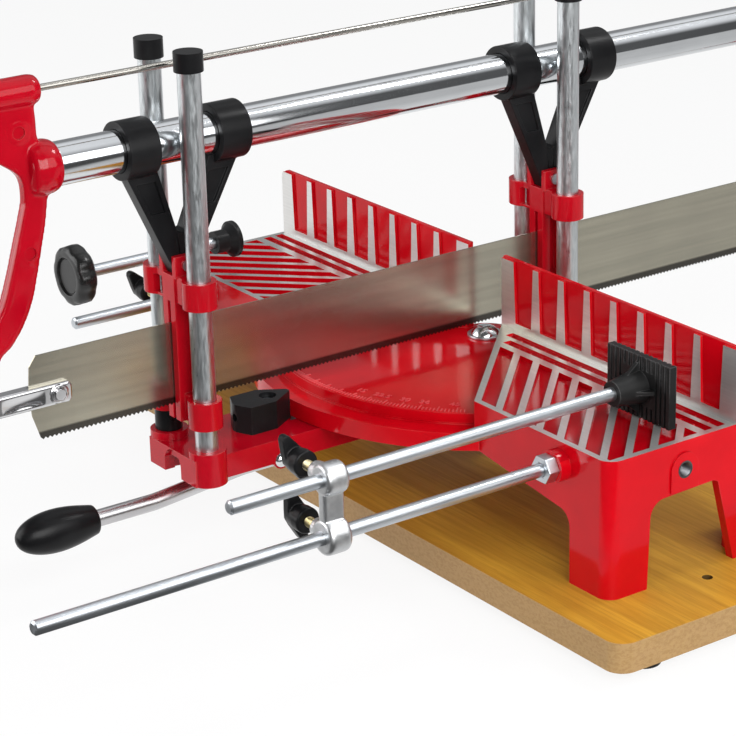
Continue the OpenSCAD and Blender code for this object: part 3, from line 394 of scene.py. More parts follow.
# Lighter red on the raised marks and numbers: partly worn paint, partly a painted highlight.
MARKS_WITH_PAINTED_HIGHLIGHT = paint("red_marks_with_painted_highlight", (0.66, 0.06, 0.07, 1))
POST_ZINC = metal("post_zinc", (0.73, 0.765, 0.78, 1), 0.35, (900, 900, 160), 0.20)
LEVER_PLATE = metal("plated_lever", (0.66, 0.65, 0.66, 1), 0.27, (200, 20, 200), 0.2)
# The knob's pale edges are rubbed wear and a painted highlight.
KNOB_PLASTIC = plastic("knob_plastic", (0.010, 0.010, 0.010, 1), 0.30, 0.1, edge_rub_and_highlight=0.5, gloss=0.4)

# Solids whose finish is not the one of their slot
OWN_FINISH = {
    "post_front_right": POST_ZINC,
    "post_front_left": POST_ZINC,
    "post_rear_right": POST_ZINC,
    "post_rear_left": POST_ZINC,
    "handle_screws": ENAMEL,
    "swivel_arm": ENAMEL,
    # The pad's pale rib edges are a painted highlight.
    "right_pad": plastic("ribbed_pad", (0.006, 0.006, 0.006, 1), 0.42, 0.10, edge_rub_and_highlight=0.7),
    "tension_rod": metal("drawn_steel_rod", (0.50, 0.48, 0.44, 1), 0.22, (300, 20, 300), 0.2),
    "blade_pins": MAT["bright"],
}
for sub in frame["record"]["subparts"]:
    slots = NODES[sub["node"]].data.materials
    slots.clear()
    slots.append(OWN_FINISH.get(sub["node"], MAT[sub["material_slot"]]))


# Softened edges on the solids, with widths in millimetres
def soften(name, width, segments=2, angle=32):
    """Rounds a solid's sharp edges without touching its mesh."""
    o = NODES[name]
    o.modifiers.new("weld", "WELD").merge_threshold = 1e-6
    edge = o.modifiers.new("edge", "BEVEL")
    edge.width = width * MM
    edge.segments = segments
    edge.limit_method = "ANGLE"
    edge.angle_limit = math.radians(angle)
    edge.use_clamp_overlap = True
    edge.harden_normals = False
    o.modifiers.new("normals", "WEIGHTED_NORMAL").keep_sharp = False


EDGES = {
    "bed_casting": 0.6, "swivel_arm": 0.9, "baseboard": 1.2, "front_carriage": 0.5, "rear_carriage": 0.5,
    "front_yoke": 0.8, "rear_yoke": 0.8, "index_block": 0.6, "right_pad": 0.25, "left_foot": 0.5,
    "post_caps": 1.0, "stop_sleeves": 0.4, "rod_nuts": 0.5, "rubber_feet": 0.6, "blade_pins": 0.4,
    "tension_nut": 0.6, "rear_clip_nut": 0.5, "index_block_screw": 0.3, "pivot_washer": 0.3, "lever_pin": 0.3,
    "frame_tube": 0.25, "handle_screws": 0.3,
}
for name, width in EDGES.items():
    soften(name, width)


# Mesh helpers, with sizes in millimetres
def placed(name, data):
    """New object in the scene."""
    o = bpy.data.objects.new(name, data)
    bpy.context.scene.collection.objects.link(o)
    return o


def mesh_of(bm, name):
    """Mesh made from a bmesh, which is freed."""
    me = bpy.data.meshes.new(name)
    bm.to_mesh(me)
    bm.free()
    return me


def baked(o):
    """New mesh of an object as its modifiers shape it."""
    return bpy.data.meshes.new_from_object(o.evaluated_get(bpy.context.evaluated_depsgraph_get()))


def smooth(me, angle):
    """Smooth shading, with edges sharper than an angle kept."""
    for p in me.polygons:
        p.use_smooth = True
    me.set_sharp_from_angle(angle=math.radians(angle))


def piece(bm, name, mat, body, nodes=(), angle=40):
    """Object from a mesh in millimetres, riding on a body and standing in for some nodes."""
    bmesh.ops.scale(bm, vec=(MM, MM, MM), verts=bm.verts)
    me = mesh_of(bm, name)
    smooth(me, angle)
    me.materials.append(mat)
    o = placed(name, me)
    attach(o, body)
    if nodes:
        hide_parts(*nodes)
    return o


def smooth_ring(points, steps=8):
    """Closed curve through a ring of points."""
    out = []
    n = len(points)
    for i in range(n):
        a, b, c, d = (Vector(points[(i + k) % n]) for k in (-1, 0, 1, 2))
        for k in range(steps):
            t = k / steps
            out.append(b + (c - a) * (t / 2) + (2 * a - 5 * b + 4 * c - d) * (t * t / 2)
                       + (3 * b - a - 3 * c + d) * (t ** 3 / 2))
    return out


def plate(bm, rings, x0, x1):
    """Plate between two X values, from an outer ring of (Y, Z) points and any rings of holes."""
    edges = []
    for ring in rings:
        vs = [bm.verts.new((x0, y, z)) for y, z in ring]
        edges += [bm.edges.new(pair) for pair in zip(vs, vs[1:] + vs[:1])]
    filled = bmesh.ops.triangle_fill(bm, edges=edges, use_beauty=True)["geom"]
    faces = [g for g in filled if isinstance(g, bmesh.types.BMFace)]
    moved = bmesh.ops.extrude_face_region(bm, geom=faces)["geom"]
    far = [v for v in moved if isinstance(v, bmesh.types.BMVert)]
    bmesh.ops.translate(bm, verts=far, vec=(x1 - x0, 0, 0))
    bmesh.ops.recalc_face_normals(bm, faces=bm.faces)


def lathe(bm, profile, origin, axis, steps=64):
    """Turned form: (radius, distance along the axis) points, spun about an axis through the origin."""
    axis = Vector(axis).normalized()
    side = axis.orthogonal().normalized()
    vs = [bm.verts.new(Vector(origin) + side * r + axis * d) for r, d in profile]
    es = [bm.edges.new(pair) for pair in zip(vs, vs[1:])]
    bmesh.ops.spin(bm, geom=vs + es, cent=origin, axis=axis, angle=2 * math.pi, steps=steps, use_merge=True)
    bmesh.ops.remove_doubles(bm, verts=bm.verts, dist=1e-4)
    bmesh.ops.recalc_face_normals(bm, faces=bm.faces)


def rod(bm, r, low, high, origin, axis, steps=64):
    """Plain round form between two distances along an axis."""
    lathe(bm, [(0, low), (r, low), (r, high), (0, high)], origin, axis, steps)


def block(bm, low, high):
    """Block between two corners; gives back its corner points."""
    corners = bmesh.ops.create_cube(bm, size=1)["verts"]
    for v in corners:
        v.co = [a + (b - a) * (c + 0.5) for a, b, c in zip(low, high, v.co)]
    return corners


def eased_block(bm, low, high, cut):
    """Block between two corners, with its edges eased."""
    edges = list({e for v in block(bm, low, high) for e in v.link_edges})
    bmesh.ops.bevel(bm, geom=edges, offset=cut, segments=2, affect="EDGES", profile=0.5, material=-1)


def bent_path(points, reach):
    """Path through points, with each corner rounded off within a reach."""
    path = []
    for a, b, c in zip(points[:1] + points, points, points[1:] + points[-1:]):
        start, end = (b + (q - b).normalized() * min(reach, (q - b).length / 2) for q in (a, c))
        for t in (0, 0.25, 0.5, 0.75, 1):
            p = start * (1 - t) ** 2 + b * 2 * t * (1 - t) + end * t * t
            if not path or (p - path[-1]).length > 0.3:
                path.append(p)
    return path


def bar(bm, path, r, steps):
    """Round bar along a path that lies across X, made of circles bridged one to the next."""
    across = Vector((1, 0, 0))
    last = []
    for i, p in enumerate(path):
        way = (path[min(i + 1, len(path) - 1)] - path[max(i - 1, 0)]).normalized()
        turn = Matrix((across, way.cross(across), way)).transposed().to_4x4()
        turn.translation = p
        end = i in (0, len(path) - 1)
        ring = bmesh.ops.create_circle(bm, segments=steps, radius=r, matrix=turn, cap_ends=end)["verts"]
        edges = list({e for v in ring for e in v.link_edges})
        if last:
            bmesh.ops.bridge_loops(bm, edges=last + edges)
        last = edges
    bmesh.ops.recalc_face_normals(bm, faces=bm.faces)


def unwrapped(o, data):
    """Bmesh of a helper object as its modifiers shape it; the helper is removed."""
    me = baked(o)
    bm = bmesh.new()
    bm.from_mesh(me)
    bpy.data.meshes.remove(me)
    bpy.data.objects.remove(o)
    bpy.data.batch_remove([data])
    return bm


def fused(bm, voxel, rounds, grow):
    """Overlapping forms fused into one casting with soft fillets, and grown to make up for the smoothing."""
    me = mesh_of(bm, "fuse")
    o = placed("fuse", me)
    remesh = o.modifiers.new("remesh", "REMESH")
    remesh.mode = "VOXEL"
    remesh.voxel_size = voxel
    soft = o.modifiers.new("smooth", "SMOOTH")
    soft.factor = 0.5
    soft.iterations = rounds
    swell = o.modifiers.new("grow", "DISPLACE")
    swell.mid_level = 0
    swell.strength = grow
    return unwrapped(o, me)


def keep_side(bm, x, sign):
    """Cuts a mesh at an X value, keeps one side and closes it."""
    geom = bm.verts[:] + bm.edges[:] + bm.faces[:]
    bmesh.ops.bisect_plane(bm, geom=geom, plane_co=(x, 0, 0), plane_no=(-sign, 0, 0), clear_outer=True)
    bmesh.ops.triangle_fill(bm, edges=[e for e in bm.edges if e.is_boundary], use_beauty=True)
    bmesh.ops.recalc_face_normals(bm, faces=bm.faces)


# Handle: (Y, Z) points from the front end of the blade and the tube's axis
HANDLE_OUTER = [
    (12, 16), (11.5, 28), (8, 42), (-14, 47), (-42, 43), (-66, 27), (-84, 0), (-93, -33), (-93, -68),
    (-84, -96), (-66, CLIP_DROP - 6), (-46, CLIP_DROP - 12), (-30, CLIP_DROP - 8), (-24, CLIP_DROP + 9),
    (-16.7, -92), (-9.7, -86), (-2.4, -76.5), (3.4, -64.5), (7, -52), (9.6, -41.5), (12.8, -29), (14.6, -19),
    (15.8, -9.5), (14.5, 3),
]
HANDLE_INNER = [
    (-3.4, 5), (-17, 12), (-34, 13), (-48, 5), (-59, -18), (-64, -48), (-62, -78), (-52, CLIP_DROP + 19),
    (-38, CLIP_DROP + 16), (-23, -86), (-15, -75), (-8.6, -65), (-3.8, -52), (-0.8, -42.5), (2.1, -33),
    (5, -23.5), (7.2, -14), (5.6, -3),
]
HANDLE_SCREWS = [(3, 20), (4.5, -41), (-77, -60), (-48, CLIP_DROP + 4)]
HANDLE_SOCKET = [
    (0, 7), (9, 7), (11.8, 8.2), (12.8, 10), (12.6, 10.8), (13.3, 12.4), (13.6, 15), (13.4, 18.5), (12.6, 21),
    (11.4, 22.5), (0, 22.5),
]
HANDLE_ROD_BOSS = [(0, -22), (6, -22), (7.2, -20), (7.4, 12), (6.6, 15), (5, 16.2), (0, 16.2)]
WEB_HALF = 3.8
GRIP_HALF = 11
GRIP_FROM = -40
WEB_FROM = -30
WEB_OUTWARD = 1.2
WEB_INWARD = 2.4
# Screw bosses on the web and on the grip
SCREW_BOSS_R = 5.2
WEB_BOSS_HALF = WEB_HALF + 0.5
GRIP_BOSS_HALF = GRIP_HALF + 0.6
# Recesses of the screws' heads and ends, and the mouth of the socket
HEAD_RECESS = [(0, 2.0), (3.2, 2.0), (3.3, 30), (0, 30)]
END_RECESS = [(0, 8), (2.6, 8), (2.8, 30), (0, 30)]
SOCKET_R = 11.05
SOCKET_FROM = 16
SOCKET_TO = 40
# Half of the gap between the two halves
PARTING = 0.12


def handle():
    """Two cast halves of the closed handle, with the tube's socket and the tension rod's boss."""
    outer, inner = (
        [(FRONT_Y + y + (wider if y > WEB_FROM else 0), TUBE_Z + z) for y, z in smooth_ring(ring)]
        for ring, wider in ((HANDLE_OUTER, WEB_OUTWARD), (HANDLE_INNER, -WEB_INWARD))
    )
    bm = bmesh.new()
    plate(bm, [outer, inner], -WEB_HALF, WEB_HALF)
    grip_outer, grip_inner = ([p for p in ring if p[0] < FRONT_Y + GRIP_FROM] for ring in (outer, inner))
    plate(bm, [grip_outer + grip_inner[::-1]], -GRIP_HALF, GRIP_HALF)
    lathe(bm, HANDLE_SOCKET, (0, FRONT_Y, TUBE_Z), (0, 1, 0))
    lathe(bm, HANDLE_ROD_BOSS, (0, FRONT_Y, ROD_Z), (0, 1, 0))
    for y, z in HANDLE_SCREWS:
        half = GRIP_BOSS_HALF if y < GRIP_FROM else WEB_BOSS_HALF
        rod(bm, SCREW_BOSS_R, -half, half, (0, FRONT_Y + y, TUBE_Z + z), (1, 0, 0), 24)
    whole = fused(bm, voxel=0.8, rounds=10, grow=0.25)
    for name, sign in (("handle_right", 1), ("handle_left", -1)):
        half = whole.copy()
        keep_side(half, PARTING * sign, sign)
        o = piece(half, "cast_" + name, ENAMEL, "saw", [name], angle=50)
        cut_recesses(o, sign)
    whole.free()


def cut_recesses(o, sign):
    """Cuts the screw recesses into one half of the handle, and the mouth of the tube's socket."""
    recess_profile = HEAD_RECESS if sign > 0 else END_RECESS
    bm = bmesh.new()
    for y, z in HANDLE_SCREWS:
        lathe(bm, recess_profile, (0, FRONT_Y + y, TUBE_Z + z), (sign, 0, 0), 32)
    rod(bm, SOCKET_R, SOCKET_FROM, SOCKET_TO, (0, FRONT_Y, TUBE_Z), (0, 1, 0))
    bmesh.ops.scale(bm, vec=(MM, MM, MM), verts=bm.verts)
    me = mesh_of(bm, "cutter")
    cutter = placed("cutter", me)
    recess = o.modifiers.new("recess", "BOOLEAN")
    recess.operation = "DIFFERENCE"
    recess.solver = "EXACT"
    recess.object = cutter
    whole = o.data
    done = baked(o)
    o.modifiers.clear()
    o.data = done
    bpy.data.objects.remove(cutter)
    for old in (me, whole):
        bpy.data.meshes.remove(old)
    smooth(done, 50)


# Back arm: (Y, Z) points from the back end of the blade and the tube's axis
BACK_BOW = [
    (-4, 46), (-11, 39), (-14, 18), (-17, 0), (-15, -24), (-10, -54), (-2, -82), (10, -104),
    (16, CLIP_DROP - 6), (26, CLIP_DROP - 8), (32, CLIP_DROP), (26, -100), (14, -80), (6, -54), (1, -24),
    (-1, 0), (0, 18), (2, 39),
]
BACK_SOCKET = [(0, -28), (12.4, -28), (13.4, -26.5), (13.4, -8), (11, -5), (0, -5)]
BACK_ROD_BOSS = [(0, -14), (7.6, -14), (8.6, -12), (8.6, 3), (7.6, 4), (0, 4)]
BACK_CLIP_BOSS = [(0, 14), (9, 14), (10, 16), (10, 33), (9, 34), (0, 34)]
BACK_HALF = 7.5


def rear_arm():
    """Cast arm at the back of the frame."""
    bm = bmesh.new()
    plate(bm, [[(BACK_Y + y, TUBE_Z + z) for y, z in smooth_ring(BACK_BOW)]], -BACK_HALF, BACK_HALF)
    for boss, z in ((BACK_SOCKET, TUBE_Z), (BACK_ROD_BOSS, ROD_Z), (BACK_CLIP_BOSS, CLIP_Z)):
        lathe(bm, boss, (0, BACK_Y, z), (0, 1, 0))
    cast = fused(bm, voxel=0.8, rounds=10, grow=0.2)
    piece(cast, "cast_rear_arm", ENAMEL, "saw", ["rear_arm"], angle=50)


# Blade clips: lengths along the blade from its end
CLIP_FROM = -21
CLIP_TO = 22.5
CLIP_NOSE = 20.5
CLIP_PIN = 15
CLIP_HALF = 5.75
CLIP_THICK = 4.0
CLIP_ROLL = 1.8
CLIP_END_ROLL = 0.9
TROUGH_AT = -5
TROUGH_DEPTH = 0.8
TROUGH_LONG = 12
TROUGH_WIDE = 3.6
PIN_PLATE_R = 5.1
PIN_PLATE_RISE = 0.55
PIN_PLATE_EDGE = 0.4
PIN_GROOVE_R = 3.3
PIN_GROOVE_HALF = 0.55
PIN_GROOVE_DEPTH = 1.1
# Half gap of the clip over the blade, where it starts, and half gap beyond it
BLADE_GAP = 0.5
BLADE_GAP_FROM = -1
CLOSED_GAP = 0.01
CLIP_STEM = [(0, 20), (3.2, 20), (3.9, 21.6), (4, 38)]
FRONT_STEM = CLIP_STEM + [(7.4, 38), (8, 38.8), (8, 42.2), (7, 43), (0, 43)]
BACK_STEM = CLIP_STEM + [(0, 39)]


def rolled(d, r):
    """Drop of a rounded edge at a distance from its rim."""
    return r - math.sqrt(max(0.0, r * r - max(0.0, r - d) ** 2))


def bowl(v, reach):
    """Smooth hollow that fades out at its reach."""
    return max(0.0, 1 - (v / reach) ** 2)


def clip_face(u, v, reach):
    """Outer face of a clip: rolled edges, a trough, and a raised plate with a groove round the pin."""
    r = math.hypot(u - CLIP_PIN, v)
    x = CLIP_THICK - rolled(reach - abs(v), CLIP_ROLL)
    x -= rolled(CLIP_TO - u, CLIP_END_ROLL) + rolled(u - CLIP_FROM, CLIP_END_ROLL)
    x -= TROUGH_DEPTH * bowl(u - TROUGH_AT, TROUGH_LONG) * bowl(v, TROUGH_WIDE)
    x += PIN_PLATE_RISE * min(1.0, max(0.0, (PIN_PLATE_R - r) / PIN_PLATE_EDGE))
    return x - PIN_GROOVE_DEPTH * bowl(r - PIN_GROOVE_R, PIN_GROOVE_HALF)


def clip_back(u, v, reach):
    """Inner face of a clip: it lies on the blade, and beyond the blade on the other half."""
    return BLADE_GAP if u > BLADE_GAP_FROM else CLOSED_GAP


def clip(name, at, way, stem):
    """Pressed blade clip at one end of the blade: two halves, each a pair of bridged sheets, and a stem."""
    bm = bmesh.new()
    for side in (-1, 1):
        for face in (clip_face, clip_back):
            sheet = bmesh.ops.create_grid(bm, x_segments=110, y_segments=48, size=1)["verts"]
            for p in sheet:
                u = CLIP_FROM + (CLIP_TO - CLIP_FROM) * (p.co.x + 1) / 2
                reach = CLIP_HALF - max(0.0, u - CLIP_NOSE)
                v = reach * math.sin(math.pi / 2 * p.co.y)
                p.co = (side * face(u, v, reach), at + way * u, CLIP_Z + v)
        bmesh.ops.bridge_loops(bm, edges=[e for e in bm.edges if e.is_boundary])
    lathe(bm, stem, (0, at, CLIP_Z), (0, -way, 0), 40)
    piece(bm, "pressed_" + name, MAT["bright"], "saw", [name], angle=35)


# Clamps
# Collars of a link: height of the rod and outer radius
COLLARS = ((UPPER_ROD_Z, 8), (LOWER_ROD_Z, 9))
# Rim of a collar: depth below its radius and distance from its middle
COLLAR_RIM = [(1.4, 6), (0.4, 5), (0.2, 3.6)]
LINK_WEB_X = 2.6
LINK_WEB_Y = 5.5
SCREW_BOSS = [(0, 0), (5.4, 0), (5.1, 8), (4.6, 12.2), (3.8, 13), (0, 13)]
WING_HUB = [(0, -13), (4.6, -13), (5.4, -12), (6.5, -5), (6.5, -0.6), (6, 0), (0, 0)]
WING_EDGE = [(5.6, 0), (4.6, 4.5), (2.1, 12.6), (0.8, 13.9)]
WING_FROM = -12.8
WING_TO = -8.2
LOCKS = {
    "right_upper_lock": (CLAMP_X, RIGHT_LINK_Y, UPPER_ROD_Z),
    "right_lower_lock": (CLAMP_X, RIGHT_LINK_Y, LOWER_ROD_Z),
    "left_lock": (-CLAMP_X, LEFT_LINK_Y, LOWER_ROD_Z),
}
KNOB_FLUTES = 8
FLUTE_DEPTH = 1.3
# Rows of the knob: radius, distance from its face, share of the flutes' depth
KNOB_ROWS = [
    (0.0, 1.5, 0), (9.8, 1.5, 0), (10.0, 2.2, 0), (11.0, 2.2, 0), (11.3, 0.2, 0), (11.8, 0.0, 0),
    (14.6, 0.2, 0.2), (16.4, 1.0, 0.6), (17.6, 2.6, 1), (17.9, 6, 1), (17.6, 9.4, 1), (16.2, 11.2, 0.6),
    (13, 12, 0.2), (8.5, 12.2, 0), (7.6, 14, 0), (0.0, 14, 0),
]


def link(name, x, y, heights, body):
    """Die-cast link: two collars, a thin web and the wing screws' bosses."""
    bm = bmesh.new()
    for z, r in COLLARS:
        rim = [(0, COLLAR_RIM[0][1])] + [(r - depth, d) for depth, d in COLLAR_RIM]
        lathe(bm, [(q, -d) for q, d in rim] + rim[::-1], (x, y, z), (0, 1, 0), 48)
    low = (x - LINK_WEB_X, y - LINK_WEB_Y, LOWER_ROD_Z)
    eased_block(bm, low, (x + LINK_WEB_X, y + LINK_WEB_Y, UPPER_ROD_Z), 0.6)
    for z in heights:
        lathe(bm, SCREW_BOSS, (x, y, z), (-1, 0, 0), 40)
    cast = fused(bm, voxel=0.4, rounds=6, grow=0.12)
    piece(cast, "cast_" + name, MAT["die_cast"], body, [name], angle=50)


def wing(name, body, turn):
    """Moulded wing head: a hub with two tapering wings."""
    x, y, z = LOCKS[body]
    bm = bmesh.new()
    lathe(bm, WING_HUB, (0, 0, 0), (1, 0, 0), 40)
    for side in (-1, 1):
        ring = [(-a, side * b) for a, b in WING_EDGE] + [(a, side * b) for a, b in WING_EDGE[::-1]]
        plate(bm, [ring], WING_FROM, WING_TO)
    bmesh.ops.rotate(bm, verts=bm.verts, cent=(0, 0, 0), matrix=Matrix.Rotation(math.radians(turn), 3, "X"))
    bmesh.ops.translate(bm, verts=bm.verts, vec=(x - WING_OFF, y, z))
    cast = fused(bm, voxel=0.4, rounds=6, grow=0.1)
    piece(cast, "moulded_" + name, MAT["black_plastic"], body, [name], angle=60)


def knob():
    """Clamping knob with a dished face, turned and then fluted round its rim."""
    bm = bmesh.new()
    lathe(bm, [row[:2] for row in KNOB_ROWS], (-CLAMP_X, KNOB_Y, UPPER_ROD_Z), (0, 1, 0), 96)
    share = {row[0]: row[2] for row in KNOB_ROWS}
    for v in bm.verts:
        off = Vector((v.co.x + CLAMP_X, v.co.z - UPPER_ROD_Z))
        if off.length > 1:
            wave = 0.5 - 0.5 * math.cos(KNOB_FLUTES * math.atan2(off.x, off.y))
            off *= 1 - share[round(off.length, 1)] * FLUTE_DEPTH * wave ** 2 / off.length
            v.co = (off.x - CLAMP_X, v.co.y, off.y + UPPER_ROD_Z)
    piece(bm, "moulded_knob", KNOB_PLASTIC, "left_turn", ["left_knob"], angle=50)


# Index lever: its low and high stretches, pivot lug and tooth block, and its grip
LEVER_R = 4.5
LEVER_HIGH = 42.5
LEVER_PATH = [
    (-297, LEVER_LOW), (-222, LEVER_LOW), (-217.7, LEVER_LOW), (-164, LEVER_HIGH), (-158, LEVER_HIGH),
    (-124, LEVER_HIGH),
]
LUG_R = 6
LUG_HALF = 4
TOOTH_BLOCK = ((-3, TOOTH_Y - 5, LEVER_HIGH), (3, TOOTH_Y + 5, TOOTH_FOOT))
GRIP_NECK = 7.8
GRIP_BELLY = 11.2
GRIP_LENGTH = 44.5
GRIP_LIP = 0.6


def lever():
    """Bent index lever with its pivot lug and tooth block."""
    bm = bmesh.new()
    bar(bm, bent_path([Vector((0, y, z)) for y, z in LEVER_PATH], 6), LEVER_R, 28)
    y, z = LUG_AXIS
    lug = [(y - LUG_R, LEVER_HIGH), (y + LUG_R, LEVER_HIGH)]
    for angle in range(0, 181, 12):
        lug.append((y + LUG_R * math.cos(math.radians(angle)), z + LUG_R * math.sin(math.radians(angle))))
    plate(bm, [lug], -LUG_HALF, LUG_HALF)
    eased_block(bm, *TOOTH_BLOCK, 0.4)
    piece(bm, "bent_lever", LEVER_PLATE, "lever", ["index_lever"])


def grip():
    """Oval grip: it swells from its neck to its belly and ends in a round nose."""
    steps = 16
    profile = [(0, 0), (GRIP_NECK - 0.8, 0)]
    for k in range(steps):
        turn = math.pi / 2 * k / steps
        r = GRIP_NECK + (GRIP_BELLY - GRIP_NECK) * math.sin(turn)
        profile.append((r, GRIP_LIP + GRIP_LENGTH / 2 * k / steps))
    for k in range(steps):
        turn = math.pi / 2 * k / steps
        r = GRIP_BELLY * math.cos(turn) ** 0.9
        profile.append((r, GRIP_LIP + GRIP_LENGTH / 2 * (1 + math.sin(turn))))
    profile.append((0, GRIP_LIP + GRIP_LENGTH))
    bm = bmesh.new()
    lathe(bm, profile, (0, GRIP_Y, LEVER_LOW), (0, -1, 0))
    piece(bm, "moulded_grip", MAT["black_plastic"], "lever", ["lever_grip"], angle=60)


# Fine details
THREAD_FROM = -20.4
THREAD_TO = -12.2
THREAD_PITCH = 0.8
LINING_DEPTH = 12.5
LINING_PITCH = 0.9
TICK_OUTER = 117.6
TICK_INNER = 114.6
FIFTH_INNER = 112.2
TICK_HALF = 0.32
TICK_Z = (79.4, 80.0)
NUMBER_R = 107.5
NUMBER_SIZE = 6.0
NUMBER_RAISE = 0.45
NUMBERS = (15, 22.5, 30, 36, 45)
# Numbers sit a little nearer the middle than their marks
NUMBER_TURN = 0.975
# Grooves of the rule: centre line in Y and start in X
GROOVES = ((-6.4, 32), (-14.8, 40))
GROOVE_HALF = 2.4
RULE_END = 199
RULE_STEP = 2.0
RULE_HALF = 0.22
RULE_Z = (88.4, 89.3)


def wing_threads():
    """Thread turns on the wing screws, between wing and link."""
    for body, place in LOCKS.items():
        profile = [(0, THREAD_FROM - 0.2)]
        d = THREAD_FROM
        while d < THREAD_TO:
            profile += [(2.35, d), (2.68, d + 0.3), (2.35, d + 0.6)]
            d += THREAD_PITCH
        profile += [(0, d)]
        bm = bmesh.new()
        lathe(bm, profile, place, (1, 0, 0), 32)
        piece(bm, "thread_" + body, MAT["yellow_zinc"], body, angle=20)


def stop_hole_lining():
    """Threaded steel lining of the two stop holes."""
    x, y, z = STOP_HOLE
    profile = [(4.0, 0.15), (4.6, 0.15), (4.6, 0.0), (3.75, 0)]
    d = -0.3
    while d > -LINING_DEPTH:
        profile += [(3.35, d), (3.75, d - 0.45)]
        d -= LINING_PITCH
    profile += [(3.9, d), (0.0, d)]
    bm = bmesh.new()
    for sign in (1, -1):
        lathe(bm, profile, (sign * x, y, z), (sign, 0, 0), 40)
    piece(bm, "stop_hole_lining", MAT["dark_steel"], "base", angle=20)


def about_z(degrees):
    """Turn about the pivot's axis."""
    return Matrix.Rotation(math.radians(degrees), 3, "Z")


def degree_marks():
    """Raised marks round the sector, one for each degree and longer at each fifth."""
    bm = bmesh.new()
    for degree in range(-47, 48):
        inner = TICK_INNER if degree % 5 else FIFTH_INNER
        mark = block(bm, (-TICK_HALF, -TICK_OUTER, TICK_Z[0]), (TICK_HALF, -inner, TICK_Z[1]))
        bmesh.ops.rotate(bm, verts=mark, cent=(0, 0, 0), matrix=about_z(degree))
    piece(bm, "degree_marks", MARKS_WITH_PAINTED_HIGHLIGHT, "base", angle=30)


def number(name, words, degrees):
    """Raised number on the sector, read from the front."""
    c = bpy.data.curves.new(name, "FONT")
    c.body = words
    c.size = NUMBER_SIZE
    c.extrude = NUMBER_RAISE
    c.align_x = "CENTER"
    c.align_y = "CENTER"
    bm = unwrapped(placed(name, c), c)
    bmesh.ops.translate(bm, verts=bm.verts, vec=(0, -NUMBER_R, SECTOR_TOP))
    bmesh.ops.rotate(bm, verts=bm.verts, cent=(0, 0, 0), matrix=about_z(degrees))
    piece(bm, name, MARKS_WITH_PAINTED_HIGHLIGHT, "base", angle=30)


def rule_marks():
    """Rule marks along one side of the grooves in both tables, longer at each fifth."""
    bm = bmesh.new()
    for sign in (1, -1):
        for centre, start in GROOVES:
            y = centre - GROOVE_HALF
            for k in range(math.ceil((RULE_END - start) / RULE_STEP)):
                x = sign * (start + RULE_STEP * k)
                reach = 0.9 if k % 5 else 2.2
                block(bm, (x - RULE_HALF, y, RULE_Z[0]), (x + RULE_HALF, y + reach, RULE_Z[1]))
    piece(bm, "rule_marks", MARKS_WITH_PAINTED_HIGHLIGHT, "base", angle=30)


handle()
rear_arm()
clip("front_clip", FRONT_Y, 1, FRONT_STEM)
clip("rear_clip", BACK_Y, -1, BACK_STEM)
link("right_link", CLAMP_X, RIGHT_LINK_Y, (LOWER_ROD_Z, UPPER_ROD_Z), "right_slider")
link("left_link", -CLAMP_X, LEFT_LINK_Y, (LOWER_ROD_Z,), "left_slider")
knob()
lever()
grip()
wing("right_wing_upper", "right_upper_lock", 25)
wing("right_wing_lower", "right_lower_lock", 15)
wing("left_wing", "left_lock", 35)
wing_threads()
stop_hole_lining()
degree_marks()
for angle in NUMBERS:
    for side, sign in (("r", 1), ("l", -1)):
        number("sector_%s_%g" % (side, angle), "%g" % angle, sign * angle * NUMBER_TURN)
rule_marks()

# Stage, light and camera, in metres
FLOOR_Z = cad_box[0][2]
FLOOR_HALF = 6
FLOOR_GLOW = 0.88
# Floor as reflections see it: paler to the left, and dark beyond the front edge
SHEEN_WAY = (0.8, 0.6, 0)
FRONT_WAY = (0.57, -0.82, 0)
# Soft boxes in the surround: direction, cosines of the outer and inner edge, strength
SOFTBOXES = [
    ((0, 0.5, 0.85), 0.72, 0.95, 0.8),
    ((-0.75, -0.6, 0.2), 0.72, 0.93, 0.7),
    ((-0.8, 0.55, 0.2), 0.6, 1.0, 0.2),
    ((0.72, -0.68, 0.12), 0.955, 0.985, 0.8),
]
SURROUND_LEVEL = 0.10
# Lamps: name, place, target, width, watts
LAMPS = [
    ("key", (1.45, -0.6, 0.9), (0, -0.05, 0.1), 1.1, 25),
    ("fill", (-0.8, -1.35, 0.6), (0, -0.05, 0.1), 1.4, 17),
    ("rim", (0.3, 0.8, 1.4), (0, 0, 0.1), 0.3, 5),
    ("side", (0.75, 0.05, 0.6), (0, 0.05, 0.35), 0.6, 3),
]
CAMERA_PLACE = (1.06447, -0.81931, 0.56946)
CAMERA_DEGREES = (55.2404, 20.7411, -1.4212)
CAMERA_LENS = 124.481
WHITE = (1, 1, 1, 1)


def blend(tree, fac, a, b):
    """Shader that goes from one to another."""
    n = tree.nodes.new("ShaderNodeMixShader")
    for socket, value in zip(n.inputs, (fac, a.outputs[0], b.outputs[0])):
        tree.links.new(value, socket)
    return n


